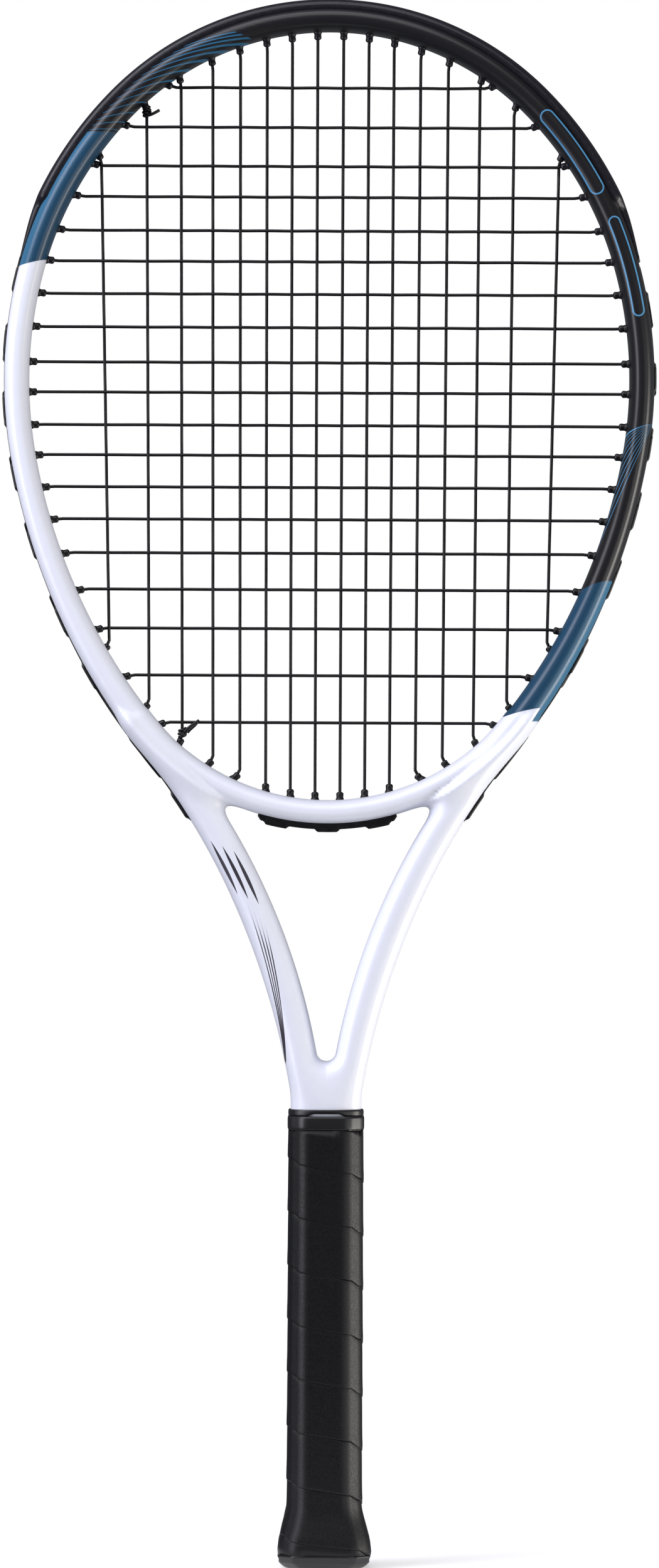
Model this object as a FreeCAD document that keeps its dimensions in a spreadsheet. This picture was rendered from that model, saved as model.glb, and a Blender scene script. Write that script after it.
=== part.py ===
import FreeCAD, Part
import math
import os
import Sketcher
from FreeCAD import Placement, Rotation, Vector

# Tennis racket, upright: +Z runs from the butt to the head, the string bed lies in
# the XZ plane, and the origin is the middle of the flat under the butt cap.

DIMENSIONS = [
    ("overall_length", 692.15, "butt to the top of the bumper guard, 27.25 in"),
    ("beam_depth", 24.0, "depth of the tube along Y"),
    ("hoop_tube_width", 11.0, "width of the hoop tube in the plane of the strings"),
    ("bumper_height", 2.95, "bumper guard, proud of the tube"),
    ("hoop_inner_length", 339.3, "inner length of the hoop"),
    ("hoop_radius_crown", 121.2, "inner radius at the crown"),
    ("hoop_radius_shoulder", 156.0, "inner radius from 45 to 75 degrees"),
    ("hoop_radius_side", 187.0, "inner radius from 75 to 100 degrees"),
    ("arm_radius_leave", 292.8, "outer radius where the arm leaves the hoop"),
    ("arm_radius_flank", 269.0, "outer radius down to the inflection"),
    ("arm_radius_upper", 302.0, "outer radius of the hollow side of the arm"),
    ("arm_radius_lower", 342.0, "outer radius further down the arm"),
    ("arm_radius_shaft", 48.3, "outer radius into the shaft"),
    ("throat_crotch_radius", 4.3, "radius of the crotch of the throat opening"),
    ("throat_crotch_height", 223.6, "lowest point of the throat opening"),
    ("throat_side_radius", 298.0, "radius of the sides of the throat opening"),
    ("throat_side_angle", 10.3, "slope of the sides beside the crotch, degrees"),
    ("throat_corner_radius", 4.0, "upper corners of the throat opening"),
    ("bridge_width", 10.5, "width of the throat bridge in the plane of the strings"),
    ("tube_edge_radius", 4.6, "rounding of the tube's long edges"),
    ("tube_wall", 1.2, "laminate wall"),
    ("channel_depth", 1.4, "string channel round the outside of the hoop"),
    ("channel_width", 8.0, "width of that channel along Y"),
    ("leg_half_width", 12.2, "half width of the two legs inside the handle"),
    ("leg_end_height", 10.0, "lower end of the legs"),
    ("septum", 1.6, "wall between the two legs"),
    ("handle_top", 199.0, "upper end of the handle pallet"),
    ("hole_diameter", 3.2, "grommet holes drilled in the tube"),
    ("barrel_diameter", 2.9, "grommet barrels"),
    ("barrel_bore", 1.9, "bore of a grommet barrel"),
    ("barrel_reach", 3.3, "barrels, proud of the inside of the hoop"),
    ("bumper_width", 18.0, "bumper guard along Y"),
    ("bumper_end_height", 576.0, "where the bumper guard ends on each side"),
    ("strip_end_height", 329.0, "lower end of the side strips"),
    ("strip_lip", 0.5, "side strips, proud of the tube"),
    ("strip_pad_height", 1.35, "raised pads of the side strips, proud of the tube"),
    ("groove_width", 4.6, "string groove in the strips and the guard"),
    ("loop_aside", 1.5, "string loops, off the middle plane in that groove"),
    ("groove_floor", 0.8, "thickness left under the string groove"),
    ("throat_strip_half", 30.5, "half length of the throat strip"),
    ("throat_strip_thick", 2.5, "thickness of the throat strip"),
    ("throat_pad_height", 1.2, "pads under the throat strip"),
    ("throat_pad_length", 9.7, "length of one pad"),
    ("string_diameter", 1.3, "string"),
    ("knot_gap", 0.45, "air between a knot's turns and the main they go round"),
    ("weave", 0.75, "string centre line off the middle plane at a crossing"),
    ("pallet_width", 30.1, "pallet octagon, in the plane of the strings"),
    ("pallet_depth", 26.4, "pallet octagon along Y"),
    ("pallet_bevel", 5.3, "bevel of the pallet octagon along X and Y"),
    ("pallet_bottom", 4.0, "lower end of the pallet"),
    ("grip_thickness", 1.8, "base grip"),
    ("grip_bevel", 6.35, "bevel of the grip octagon"),
    ("grip_bottom", 6.0, "lower edge of the grip"),
    ("grip_top", 193.2, "upper edge of the grip"),
    ("butt_width", 41.8, "widest part of the butt"),
    ("butt_flat_width", 30.0, "flat under the butt cap"),
    ("octagon_narrower", 3.7, "how much less every octagon is along Y than along X"),
    ("tape_thickness", 0.4, "finishing tape"),
    ("tape_height", 4.6, "width of the finishing tape"),
    ("collar_width", 33.8, "lower band of the rubber collar"),
    ("collar_bottom", 193.7, "lower edge of the collar"),
    ("collar_band_top", 199.6, "upper edge of the collar's lower band"),
    ("collar_top", 202.5, "upper edge of the collar's lip"),
    ("collar_clearance", 0.4, "gap between the collar and what it slides over"),
    ("collar_wall", 0.9, "wall of the collar's lip"),
    ("collar_bevel", 5.0, "bevel of the collar's band"),
    ("collar_room_bevel", 4.4, "bevel inside the band"),
    ("collar_step", 0.3, "gap between the pallet and the floor of the lip"),
    ("collar_slot_width", 17.0, "slot in the front and back of the collar"),
    ("collar_slot_height", 1.1, "height of that slot"),
    ("staple_wire", 0.7, "staple wire"),
    ("staple_crown", 6.0, "staple crown"),
    ("staple_leg", 2.4, "leg of the staple that pins the grip"),
    ("grip_staple_height", 12.0, "height of that staple"),
    ("cap_staple_leg", 1.6, "legs of the butt cap's staples"),
    ("cap_staple_height", 24.0, "height of the butt cap's staples"),
    ("cap_staple_offset", 5.5, "their distance from the middle along X"),
]

# Where the arcs of the hoop's inner and outer curves end, in degrees from the crown.
CROWN_ANGLES = (0, 45, 75, 100, 128, 180)
OUTER_ANGLES = (0, 45, 75, 100, 118, 129, 115, 100, 90)
# Mains: distance from the middle at the top and at the bottom; crosses: height.
TOP_OFFSETS = (5.7, 16.9, 28.0, 39.8, 52.0, 66.0, 81.1, 101.0)
LOW_OFFSETS = (5.5, 16.4, 27.3, 38.7, 50.6, 64.2, 78.9, 96.6)
CROSS_HEIGHTS = (
    373.0, 393.8, 414.5, 431.7, 447.8, 462.7, 476.9, 491.0, 504.3, 518.7,
    532.0, 547.5, 562.2, 576.6, 590.2, 605.1, 618.7, 635.9, 653.4,
)
LEFT_PAD_HEIGHTS = (336.5, 361.0, 393.0, 417.5, 451.0, 481.0, 511.5, 541.0, 568.5)
RIGHT_PAD_HEIGHTS = (336.5, 401.0, 434.5, 464.5, 495.0, 525.5)
PAD_LENGTH = 11.5
THROAT_PAD_PLACES = (-22.0, 0.0, 22.0)
THROAT_MAINS = 3
SHOULDER_TILTS = {4: 48.0, 5: 40.0}
# How far the barrels lean from square to the hoop toward their string.
TOP_LEAN = 1.0
LOW_LEAN = 0.35
SIDE_LEAN = 0.6
BARREL_TO_BEND = 0.6
CORNER_RADIUS = 1.3
WEAVE_RADIUS = 5.0
KNOT_MAINS = {"upper": 7, "lower": 6}
KNOT_TURNS = 3
KNOT_START = 0.9
COLLAR_FLARE = 0.3
BRIDGE_ROOT_SLOPE = 36.0
BRIDGE_CORNER_SLOPE = 34.5
# Plan of the bridge beyond its ends, and the heights over the crotch that hold it.
BRIDGE_ROOT_LEAN, BRIDGE_ROOT_GAP, BRIDGE_ZONE_REACH = 3.5, 0.5, 30.0
BRIDGE_CORNER_STEP, BRIDGE_FOOT_STEP = (9.0, 12.0), (10.0, 15.0)
BRIDGE_LOOP_RISE = 0.35
BRIDGE_RISE = 120.0
BRIDGE_BETWEEN = (85.0, 145.0)
MIDDLE = (0.0, 520.0)
# Strings: least straight run that can weave, sidestep past one that cannot, loop lead-in.
LEAST_RUN = 2.0
PASSING = 1.6
LOOP_LEAD = 3.5
TURN_GAP = 0.05
STAPLE_SINK = 0.1
STRIP_TO_BUMPER = 0.3
STRIP_GROOVE_REACH, BUMPER_GROOVE_REACH = 3.0, 5.0
THROAT_GROOVE_DEPTH, THROAT_GROOVE_SHORT = 1.6, 1.5
# Half sizes of the blocks that mark off a length of the racket, well clear of it.
CLEAR_ASIDE, CLEAR_FORE, CLEAR_TOP = 200.0, 30.0, 800.0
# The butt's outside above the ground: (height, width across the flats).
BUTT_PROFILE = ((0, 30.0), (2.5, 38.0), (8, 41.8), (13.6, 40.2), (20, 36.8), (27, 33.9), (34, 33.7))

doc = FreeCAD.newDocument("TennisRacket")
sheet = doc.addObject("Spreadsheet::Sheet", "Sizes")
for row, (alias, value, meaning) in enumerate(DIMENSIONS, start=1):
    sheet.set(f"A{row}", alias)
    sheet.set(f"B{row}", str(value))
    sheet.set(f"C{row}", meaning)
    sheet.setAlias(f"B{row}", alias)
doc.recompute()


def size(alias):
    return float(sheet.get(alias))


# ---------------------------------------------------------------- outlines

def arc_chain(start, angles, radii, grow=0.0):
    """Tangent arcs of the right half, from the top: (centre, signed radius, from, to)."""
    chain = []
    x, z = start
    for radius, a_deg, b_deg in zip(radii, angles[:-1], angles[1:]):
        a, b = math.radians(a_deg), math.radians(b_deg)
        centre = (x - radius * math.sin(a), z - radius * math.cos(a))
        chain.append((centre, radius + grow, a, b))
        x = centre[0] + radius * math.sin(b)
        z = centre[1] + radius * math.cos(b)
    return chain


def arc_point(arc, angle):
    (cx, cz), radius, _, _ = arc
    return (cx + radius * math.sin(angle), cz + radius * math.cos(angle))


def inner_radii():
    """The five inner radii: the last two close the hoop at its stated length."""
    given = [size("hoop_radius_crown"), size("hoop_radius_shoulder"), size("hoop_radius_side")]
    rad = [math.radians(a) for a in CROWN_ANGLES]
    sines = [math.sin(b) - math.sin(a) for a, b in zip(rad, rad[1:])]
    cosines = [math.cos(b) - math.cos(a) for a, b in zip(rad, rad[1:])]
    across = -sum(r * s for r, s in zip(given, sines))
    down = -size("hoop_inner_length") - sum(r * c for r, c in zip(given, cosines))
    determinant = sines[3] * cosines[4] - sines[4] * cosines[3]
    fourth = (across * cosines[4] - sines[4] * down) / determinant
    fifth = (sines[3] * down - cosines[3] * across) / determinant
    return given + [fourth, fifth]


TUBE_TOP = size("overall_length") - size("bumper_height")
INNER_TOP = TUBE_TOP - size("hoop_tube_width")


def inner_chain(grow=0.0):
    return arc_chain((0.0, INNER_TOP), CROWN_ANGLES, inner_radii(), grow)


def outer_chain(grow=0.0):
    """Outside of the tube, from the crown down the arm to the shaft."""
    hoop = [r + size("hoop_tube_width") for r in inner_radii()[:3]]
    arm = [size("arm_radius_leave"), size("arm_radius_flank"), -size("arm_radius_upper"),
           -size("arm_radius_lower"), -size("arm_radius_shaft")]
    return arc_chain((0.0, TUBE_TOP), OUTER_ANGLES, hoop + arm, grow)


def throat_side(grow=0.0):
    """Side of the throat opening: crotch centre, side arc centre, radius, slopes."""
    slope = math.radians(size("throat_side_angle"))
    crotch = (0.0, size("throat_crotch_height") + size("throat_crotch_radius"))
    foot = (size("throat_crotch_radius") * math.cos(slope),
            crotch[1] - size("throat_crotch_radius") * math.sin(slope))
    radius = size("throat_side_radius")
    centre = (foot[0] + radius * math.cos(slope), foot[1] - radius * math.sin(slope))
    return crotch, centre, radius - grow, slope


def side_point(slope, grow=0.0):
    _, centre, radius, _ = throat_side(grow)
    return (centre[0] - radius * math.cos(slope), centre[1] + radius * math.sin(slope))


def chain_steps(chain):
    """Arcs as point triples (start, middle, end), in the order they are walked."""
    steps = []
    for arc in chain:
        _, _, a, b = arc
        steps.append((arc_point(arc, a), arc_point(arc, (a + b) / 2), arc_point(arc, b)))
    return steps


def backwards(steps):
    return [tuple(reversed(step)) for step in reversed(steps)]


def mirrored(steps):
    """The other half of the outline, walked back from its far end."""
    return [tuple((-x, z) for x, z in reversed(step)) for step in reversed(steps)]


def lines(*points):
    return list(zip(points[:-1], points[1:]))


# ------------------------------------------------- document object helpers

def body(name):
    return doc.addObject("PartDesign::Body", name)


def plane_of(owner, role):
    return next(f for f in owner.Origin.OriginFeatures if f.Role == role)


def sketch_on(owner, name, role):
    sketch = owner.newObject("Sketcher::SketchObject", name)
    sketch.AttachmentSupport = [(plane_of(owner, role), "")]
    sketch.MapMode = "FlatFace"
    return sketch


def draw(sketch, steps):
    for step in steps:
        points = [Vector(x, z, 0) for x, z in step]
        if len(points) == 2:
            sketch.addGeometry(Part.LineSegment(*points))
        else:
            sketch.addGeometry(Part.Arc(*points))


def pad_across(owner, sketch, name, length):
    """Pad a sketch of the XZ plane to both sides of the string bed."""
    pad = owner.newObject("PartDesign::Pad", name)
    pad.Profile = sketch
    pad.SideType = "Symmetric"
    pad.setExpression("Length", length)
    doc.recompute()
    return pad


def outline_body(name, steps, length):
    owner = body(name)
    sketch = sketch_on(owner, name + "_sketch", "XZ_Plane")
    draw(sketch, steps)
    pad_across(owner, sketch, name + "_pad", length)
    return owner


def face_edges(owner, half_depth):
    """Names of the edges that lie on the two flat faces at the given Y."""
    names = []
    for index, edge in enumerate(owner.Shape.Edges, start=1):
        box = edge.BoundBox
        on_face = abs(abs(box.YMin) - half_depth) < 1e-4
        if on_face and box.YMax - box.YMin < 1e-4:
            names.append(f"Edge{index}")
    return names


def round_edges(owner, name, edges, radius):
    base = owner.Tip
    fillet = owner.newObject("PartDesign::Fillet", name)
    fillet.Base = (base, edges)
    fillet.setExpression("Radius", radius)
    doc.recompute()
    return fillet


def cut(name, base, tool):
    result = doc.addObject("Part::Cut", name)
    result.Base = base
    result.Tool = tool
    return result


def common(name, base, tool):
    result = doc.addObject("Part::Common", name)
    result.Base = base
    result.Tool = tool
    return result


def group(kind, name, members):
    result = doc.addObject(kind, name)
    if kind == "Part::Compound":
        result.Links = members
    else:
        result.Shapes = members
    return result


def cylinder(name, diameter, start, end, extra=0.0):
    """A cylinder between two points of the XZ plane, or of space."""
    first, last = Vector(*start), Vector(*end)
    axis = (last - first).normalize()
    rod = doc.addObject("Part::Cylinder", name)
    rod.setExpression("Radius", f"Sizes.{diameter} / 2")
    rod.Height = (last - first).Length + 2 * extra
    rod.Placement = Placement(first - axis * extra, Rotation(Vector(0, 0, 1), axis))
    return rod


def box_between(name, low, high):
    block = doc.addObject("Part::Box", name)
    block.Length, block.Width, block.Height = (b - a for a, b in zip(low, high))
    block.Placement = Placement(Vector(*low), Rotation())
    return block


NODES = []


def node(item, label):
    """Make a document object a sub-part: its Label names its file."""
    item.Label = label
    NODES.append(item)
    return item


# --------------------------------------------------------- where strings go

def crossing(arc, origin, heading):
    """Distance along a heading to an arc of a chain, or None."""
    (cx, cz), radius, a, b = arc
    ox, oz = origin[0] - cx, origin[1] - cz
    along = ox * heading[0] + oz * heading[1]
    inside = along * along - (ox * ox + oz * oz - radius * radius)
    if inside < 0:
        return None
    low, high = min(a, b) - 1e-6, max(a, b) + 1e-6
    for distance in (-along - math.sqrt(inside), -along + math.sqrt(inside)):
        px, pz = ox + distance * heading[0], oz + distance * heading[1]
        angle = math.atan2(px / radius, pz / radius)
        if distance > 0 and low <= angle <= high:
            return distance
    return None


def first_crossing(chain, origin, heading):
    found = [crossing(arc, origin, heading) for arc in chain]
    return min(d for d in found if d is not None)


def ahead(origin, heading, distance):
    return (origin[0] + heading[0] * distance, origin[1] + heading[1] * distance)


def unit(x, z):
    length = math.hypot(x, z)
    return (x / length, z / length)


def string_floor():
    """Height of the string's centre line over the outside of the tube."""
    floor = size("groove_floor") - size("channel_depth")
    return floor + size("string_diameter") / 2 + 0.25


def hole(place, inward, lean, tilt=None):
    """One grommet: place is a point on the string line inside the hoop.

    Its barrel stands square to the hoop, leaning toward the string by the lean.
    Returned for the right-hand half: bend point, barrel tip, exit point and axis.
    """
    outward = (-inward[0], -inward[1])
    wall = ahead(place, outward, first_crossing(inner_chain(), place, outward))
    bend = ahead(wall, inward, size("barrel_reach") + BARREL_TO_BEND)
    normal = hoop_normal(wall)
    if tilt is None:
        axis = unit(normal[0] + lean * inward[0], normal[1] + lean * inward[1])
    else:
        axis = (-math.sin(math.radians(tilt)), math.cos(math.radians(tilt)))
    back = (-axis[0], -axis[1])
    tip = ahead(bend, back, BARREL_TO_BEND)
    leave = ahead(bend, back, first_crossing(outer_chain(string_floor()), bend, back))
    return {"bend": bend, "tip": tip, "exit": leave, "axis": axis}


def hoop_normal(point):
    """Unit normal into the hoop at a point on its inner curve."""
    for arc in inner_chain():
        (cx, cz), _, a, b = arc
        angle = math.atan2(point[0] - cx, point[1] - cz)
        if a - 1e-6 <= angle <= b + 1e-6:
            return unit(cx - point[0], cz - point[1])
    return (0.0, 1.0)


def bridge_hole(x):
    """A grommet of the throat strip: straight down through the bridge."""
    wall = first_crossing(inner_chain(), (x, CROSS_HEIGHTS[0]), (0.0, -1.0))
    wall_z = CROSS_HEIGHTS[0] - wall
    bottom = bridge_low(x) - size("throat_strip_thick") + BRIDGE_LOOP_RISE
    reach = size("barrel_reach")
    return {"bend": (x, wall_z + reach + BARREL_TO_BEND), "tip": (x, wall_z + reach),
            "exit": (x, bottom), "axis": (0.0, 1.0)}


def bridge_low(x, extra=0.0):
    """Height of the underside of the bridge at a distance from the middle."""
    (_, cz), radius, _, _ = inner_chain(size("bridge_width") + extra)[-1]
    return cz - math.sqrt(radius * radius - x * x)


def flip(spot):
    """The same grommet on the left-hand side."""
    return {key: (-value[0], value[1]) for key, value in spot.items()}


TOP_HOLES = [hole((x, MIDDLE[1]), (0.0, -1.0), TOP_LEAN) for x in TOP_OFFSETS]
LOW_HOLES = []
for index, offset in enumerate(LOW_OFFSETS, start=1):
    if index <= THROAT_MAINS:
        LOW_HOLES.append(bridge_hole(offset))
    else:
        LOW_HOLES.append(hole((offset, MIDDLE[1]), (0.0, 1.0), LOW_LEAN, SHOULDER_TILTS.get(index)))
SIDE_HOLES = [hole((0.0, z), (-1.0, 0.0), SIDE_LEAN) for z in CROSS_HEIGHTS]


# ------------------------------------------------------------------- frame

def tube_outline():
    """Outside of the whole frame, closed across the ends of the legs."""
    right = chain_steps(outer_chain())
    shaft = right[-1][-1]
    leg = size("leg_half_width")
    top, bottom = size("handle_top"), size("leg_end_height")
    right += lines(shaft, (shaft[0], top), (leg, top), (leg, bottom))
    left = mirrored(right)
    return right + lines((leg, bottom), (-leg, bottom)) + left


def hoop_opening():
    right = chain_steps(inner_chain())
    return right + mirrored(right)


def throat_opening():
    """Between the arms, up to the underside of the bridge."""
    crotch, _, _, low = throat_side()
    (_, cz), radius, _, _ = inner_chain(size("bridge_width"))[-1]
    high = low
    while side_point(high)[1] < cz - math.sqrt(radius ** 2 - side_point(high)[0] ** 2):
        high += math.radians(0.02)
    corner = side_point(high)
    corner = (corner[0], cz - math.sqrt(radius ** 2 - corner[0] ** 2))
    side = [(side_point(low), side_point((low + high) / 2), corner)]
    crotch_arc = [(side_point(low), (0.0, crotch[1] - size("throat_crotch_radius")),
                   (-side_point(low)[0], side_point(low)[1]))]
    roof = [((-corner[0], corner[1]), (0.0, cz - radius), corner)]
    return roof + backwards(side) + crotch_arc + backwards(mirrored(backwards(side)))


def make_frame_blank():
    owner = outline_body("frame_blank", tube_outline(), "Sizes.beam_depth")
    for name, steps in (("hoop_opening", hoop_opening()), ("throat_opening", throat_opening())):
        sketch = sketch_on(owner, name, "XZ_Plane")
        draw(sketch, steps)
        pocket = owner.newObject("PartDesign::Pocket", name + "_pocket")
        pocket.Profile = sketch
        pocket.SideType = "Symmetric"
        pocket.setExpression("Length", "Sizes.beam_depth * 2")
        doc.recompute()
    corners = []
    for index, edge in enumerate(owner.Shape.Edges, start=1):
        box = edge.BoundBox
        upright = box.YLength > size("beam_depth") - 0.01 and box.XLength < 0.01
        if upright and abs(box.XMin) < 60 and 320 < box.ZMin < 345:
            corners.append(f"Edge{index}")
    round_edges(owner, "throat_corners", corners, "Sizes.throat_corner_radius")
    rims = face_edges(owner, size("beam_depth") / 2)
    round_edges(owner, "tube_rounding", rims, "Sizes.tube_edge_radius")
    return owner


def bridge_zone_outline():
    """Plan of the bridge, which butts against the inner walls of the two arms."""
    root = side_point(math.radians(BRIDGE_ROOT_SLOPE))
    corner = side_point(math.radians(BRIDGE_CORNER_SLOPE))
    gate = (root[0] + BRIDGE_ROOT_LEAN, root[1] + BRIDGE_ZONE_REACH)
    foot = (root[0] - BRIDGE_ROOT_GAP, root[1])
    inside = (corner[0] - BRIDGE_CORNER_STEP[0], corner[1] - BRIDGE_CORNER_STEP[1])
    below = (inside[0] - BRIDGE_FOOT_STEP[0], inside[1] - BRIDGE_FOOT_STEP[1])
    right = lines(gate, foot, corner, inside, below)
    left = mirrored(right)
    return right + lines(below, (-below[0], below[1])) + left + lines((-gate[0], gate[1]), gate)


def core_outline():
    """Hollow of the hairpin tube: up one arm, round the hoop and down the other."""
    wall = size("tube_wall")
    under = wall + size("channel_depth")
    right = chain_steps(outer_chain(-under))
    shaft = right[-1][-1]
    leg = size("leg_half_width") - wall
    top, bottom = size("handle_top") + wall, size("leg_end_height") - 1.0
    half_septum = size("septum") / 2
    right += lines(shaft, (shaft[0], top), (leg, top), (leg, bottom), (half_septum, bottom))
    crotch, _, _, low = throat_side()
    ring = size("throat_crotch_radius") + wall
    turn = math.acos(half_septum / ring)
    foot = (half_septum, crotch[1] - ring * math.sin(turn))
    half_turn = (turn + low) / 2
    knee = (ring * math.cos(half_turn), crotch[1] - ring * math.sin(half_turn))
    slope = math.radians(CROWN_ANGLES[4] - 90)
    hip = side_point(slope, wall)
    inner = chain_steps(inner_chain(wall))[:4]
    right += lines((half_septum, bottom), foot)
    right += [(foot, knee, side_point(low, wall))]
    right += [(side_point(low, wall), side_point((low + slope) / 2, wall), hip)]
    right += lines(hip, inner[-1][-1]) + backwards(inner)
    left = mirrored(right)
    return right + left


def make_core():
    return outline_body("tube_core", core_outline(), "Sizes.beam_depth - 4 * Sizes.tube_wall")


def band_outline(low, high):
    """A band that follows the outside of the tube between two heights over it."""
    right = chain_steps(outer_chain(high)[:6])
    inner = chain_steps(outer_chain(low)[:6])
    left = mirrored(right)
    inner_left = mirrored(inner)
    ends = lines(right[-1][-1], inner[-1][-1])
    far = lines(inner_left[0][0], left[0][0])
    return right + ends + backwards(inner) + backwards(inner_left) + far + left


def band(name, low, high, depth):
    return outline_body(name, band_outline(low, high), depth)


def all_holes():
    """Every grommet with a name, on both sides of the racket."""
    spots = []
    for index, (top, low) in enumerate(zip(TOP_HOLES, LOW_HOLES), start=1):
        spots.append((f"top_right_{index}", top))
        spots.append((f"top_left_{index}", flip(top)))
        spots.append((f"low_right_{index}", low))
        spots.append((f"low_left_{index}", flip(low)))
    for index, side in enumerate(SIDE_HOLES, start=1):
        spots.append((f"side_right_{index}", side))
        spots.append((f"side_left_{index}", flip(side)))
    return spots


def flat(point, y=0.0):
    return (point[0], y, point[1])


def owner_of(spot):
    """Which moulding a grommet belongs to."""
    x, z = spot["exit"]
    if spot["axis"] == (0.0, 1.0) or spot["axis"] == (-0.0, 1.0):
        if z < size("throat_crotch_height") + BRIDGE_RISE:
            return "throat"
    if z > size("bumper_end_height") + 1.0:
        return "bumper"
    return "left" if x < 0 else "right"


HOLES = all_holes()


def make_frame():
    """The hairpin tube and the bridge between its arms, cut from one moulding."""
    blank = make_frame_blank()
    core = make_core()
    zone = outline_body("bridge_zone", bridge_zone_outline(), "Sizes.beam_depth + 2")
    low_end = size("strip_end_height")
    above_strips = box_between("above_strips", (-CLEAR_ASIDE, -CLEAR_FORE, low_end),
                               (# Half sizes of the blocks that mark off a length of the racket, well clear of it.
CLEAR_ASIDE, CLEAR_FORE, CLEAR_TOP))
    recess = band("recess", -size("channel_depth"), 1.0, "Sizes.channel_width")
    channel = common("string_channel", recess, above_strips)
    drills = [cylinder("drill_" + name, "hole_diameter", flat(spot["exit"]), flat(spot["tip"]), 1.0)
              for name, spot in HOLES]
    drilled = group("Part::Compound", "drilled", drills)
    tube = cut("tube_without_bridge", blank, zone)
    hollow = cut("hollow_tube", tube, core)
    grooved = cut("grooved_tube", hollow, channel)
    node(cut("hairpin_frame", grooved, drilled), "hairpin_frame")
    bridge = common("bridge_blank", blank, zone)
    node(cut("throat_bridge", bridge, drilled), "throat_bridge")


# --------------------------------------------- guard, strips and grommets

def bores(prefix, spots):
    """String holes through the barrels."""
    return [cylinder(f"{prefix}_bore_{name}", "barrel_bore", flat(spot["exit"]), flat(spot["tip"]), 1.0)
            for name, spot in spots]


def barrels(prefix, spots, floor):
    """Barrels from the floor of the moulding to inside the hoop."""
    rods = []
    for name, spot in spots:
        start = ahead(spot["exit"], spot["axis"], floor)
        rods.append(cylinder(f"{prefix}_barrel_{name}", "barrel_diameter",
                             flat(start), flat(spot["tip"])))
    return rods


def moulding(label, bands, zone, spots, groove):
    """One nylon moulding: bands clipped to its zone, with barrels, groove and bores."""
    shell = group("Part::MultiFuse", label + "_bands", bands)
    clipped = common(label + "_clipped", shell, zone)
    rods = barrels(label, spots, size("string_diameter") / 2 + 0.6)
    whole = group("Part::MultiFuse", label + "_whole", [clipped] + rods)
    grooved = cut(label + "_grooved", whole, groove)
    node(cut(label, grooved, group("Part::Compound", label + "_bores", bores(label, spots))), label)


def groove_band(name, reach):
    floor = size("groove_floor") - size("channel_depth")
    return band(name, floor, reach, "Sizes.groove_width")


def on_outer_side(edge):
    """Whether an edge of a band lies on its outer face, judged from its middle."""
    point = edge.valueAt((edge.FirstParameter + edge.LastParameter) / 2)
    for arc in outer_chain(size("bumper_height"))[:6]:
        (cx, cz), radius, _, _ = arc
        if abs(math.hypot(abs(point.x) - cx, point.z - cz) - abs(radius)) < 1e-3:
            return True
    return False


def make_bumper():
    outside = band("bumper_outside", 0.0, size("bumper_height"), "Sizes.bumper_width")
    rims = face_edges(outside, size("bumper_width") / 2)
    outer = [name for name in rims if on_outer_side(outside.Shape.getElement(name))]
    round_edges(outside, "bumper_rounding", outer, "Sizes.bumper_height / 2")
    key = band("bumper_key", -size("channel_depth"), 0.0, "Sizes.channel_width")
    zone = box_between("bumper_zone", (-CLEAR_ASIDE, -CLEAR_FORE, size("bumper_end_height")),
                       (# Half sizes of the blocks that mark off a length of the racket, well clear of it.
CLEAR_ASIDE, CLEAR_FORE, CLEAR_TOP))
    spots = [(name, spot) for name, spot in HOLES if owner_of(spot) == "bumper"]
    groove = groove_band("bumper_groove", BUMPER_GROOVE_REACH)
    moulding("bumper_guard", [outside, key], zone, spots, groove)


def make_side_strip(label, side, pad_heights):
    end, top = size("strip_end_height"), size("bumper_end_height") - STRIP_TO_BUMPER
    near, far = sorted((0.0, side * CLEAR_ASIDE))
    zone = box_between(label + "_zone", (near, -CLEAR_FORE, end), (far, CLEAR_FORE, top))
    floor = band(label + "_floor", -size("channel_depth"), size("strip_lip"), "Sizes.channel_width")
    raised = band(label + "_raised", 0.0, size("strip_pad_height"), "Sizes.channel_width")
    pads = [box_between(f"{label}_pad_{index}", (near, -CLEAR_FORE, height - PAD_LENGTH / 2),
                        (far, CLEAR_FORE, height + PAD_LENGTH / 2))
            for index, height in enumerate(pad_heights, start=1)]
    pad_zone = group("Part::Compound", label + "_pad_zone", pads)
    pad_band = common(label + "_pads", raised, pad_zone)
    side_name = "right" if side > 0 else "left"
    spots = [(name, spot) for name, spot in HOLES if owner_of(spot) == side_name]
    moulding(label, [floor, pad_band], zone, spots, groove_band(label + "_groove", STRIP_GROOVE_REACH))


def under_bridge(low, high, half):
    """Plan of a strip between two depths under the bridge."""
    def walk(extra):
        rise = bridge_low(half, extra)
        return ((-half, rise), (0.0, bridge_low(0.0, extra)), (half, rise))
    upper, lower = walk(low), walk(high)
    return [upper] + lines(upper[2], lower[2]) + [tuple(reversed(lower))] + lines(lower[0], upper[0])


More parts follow.
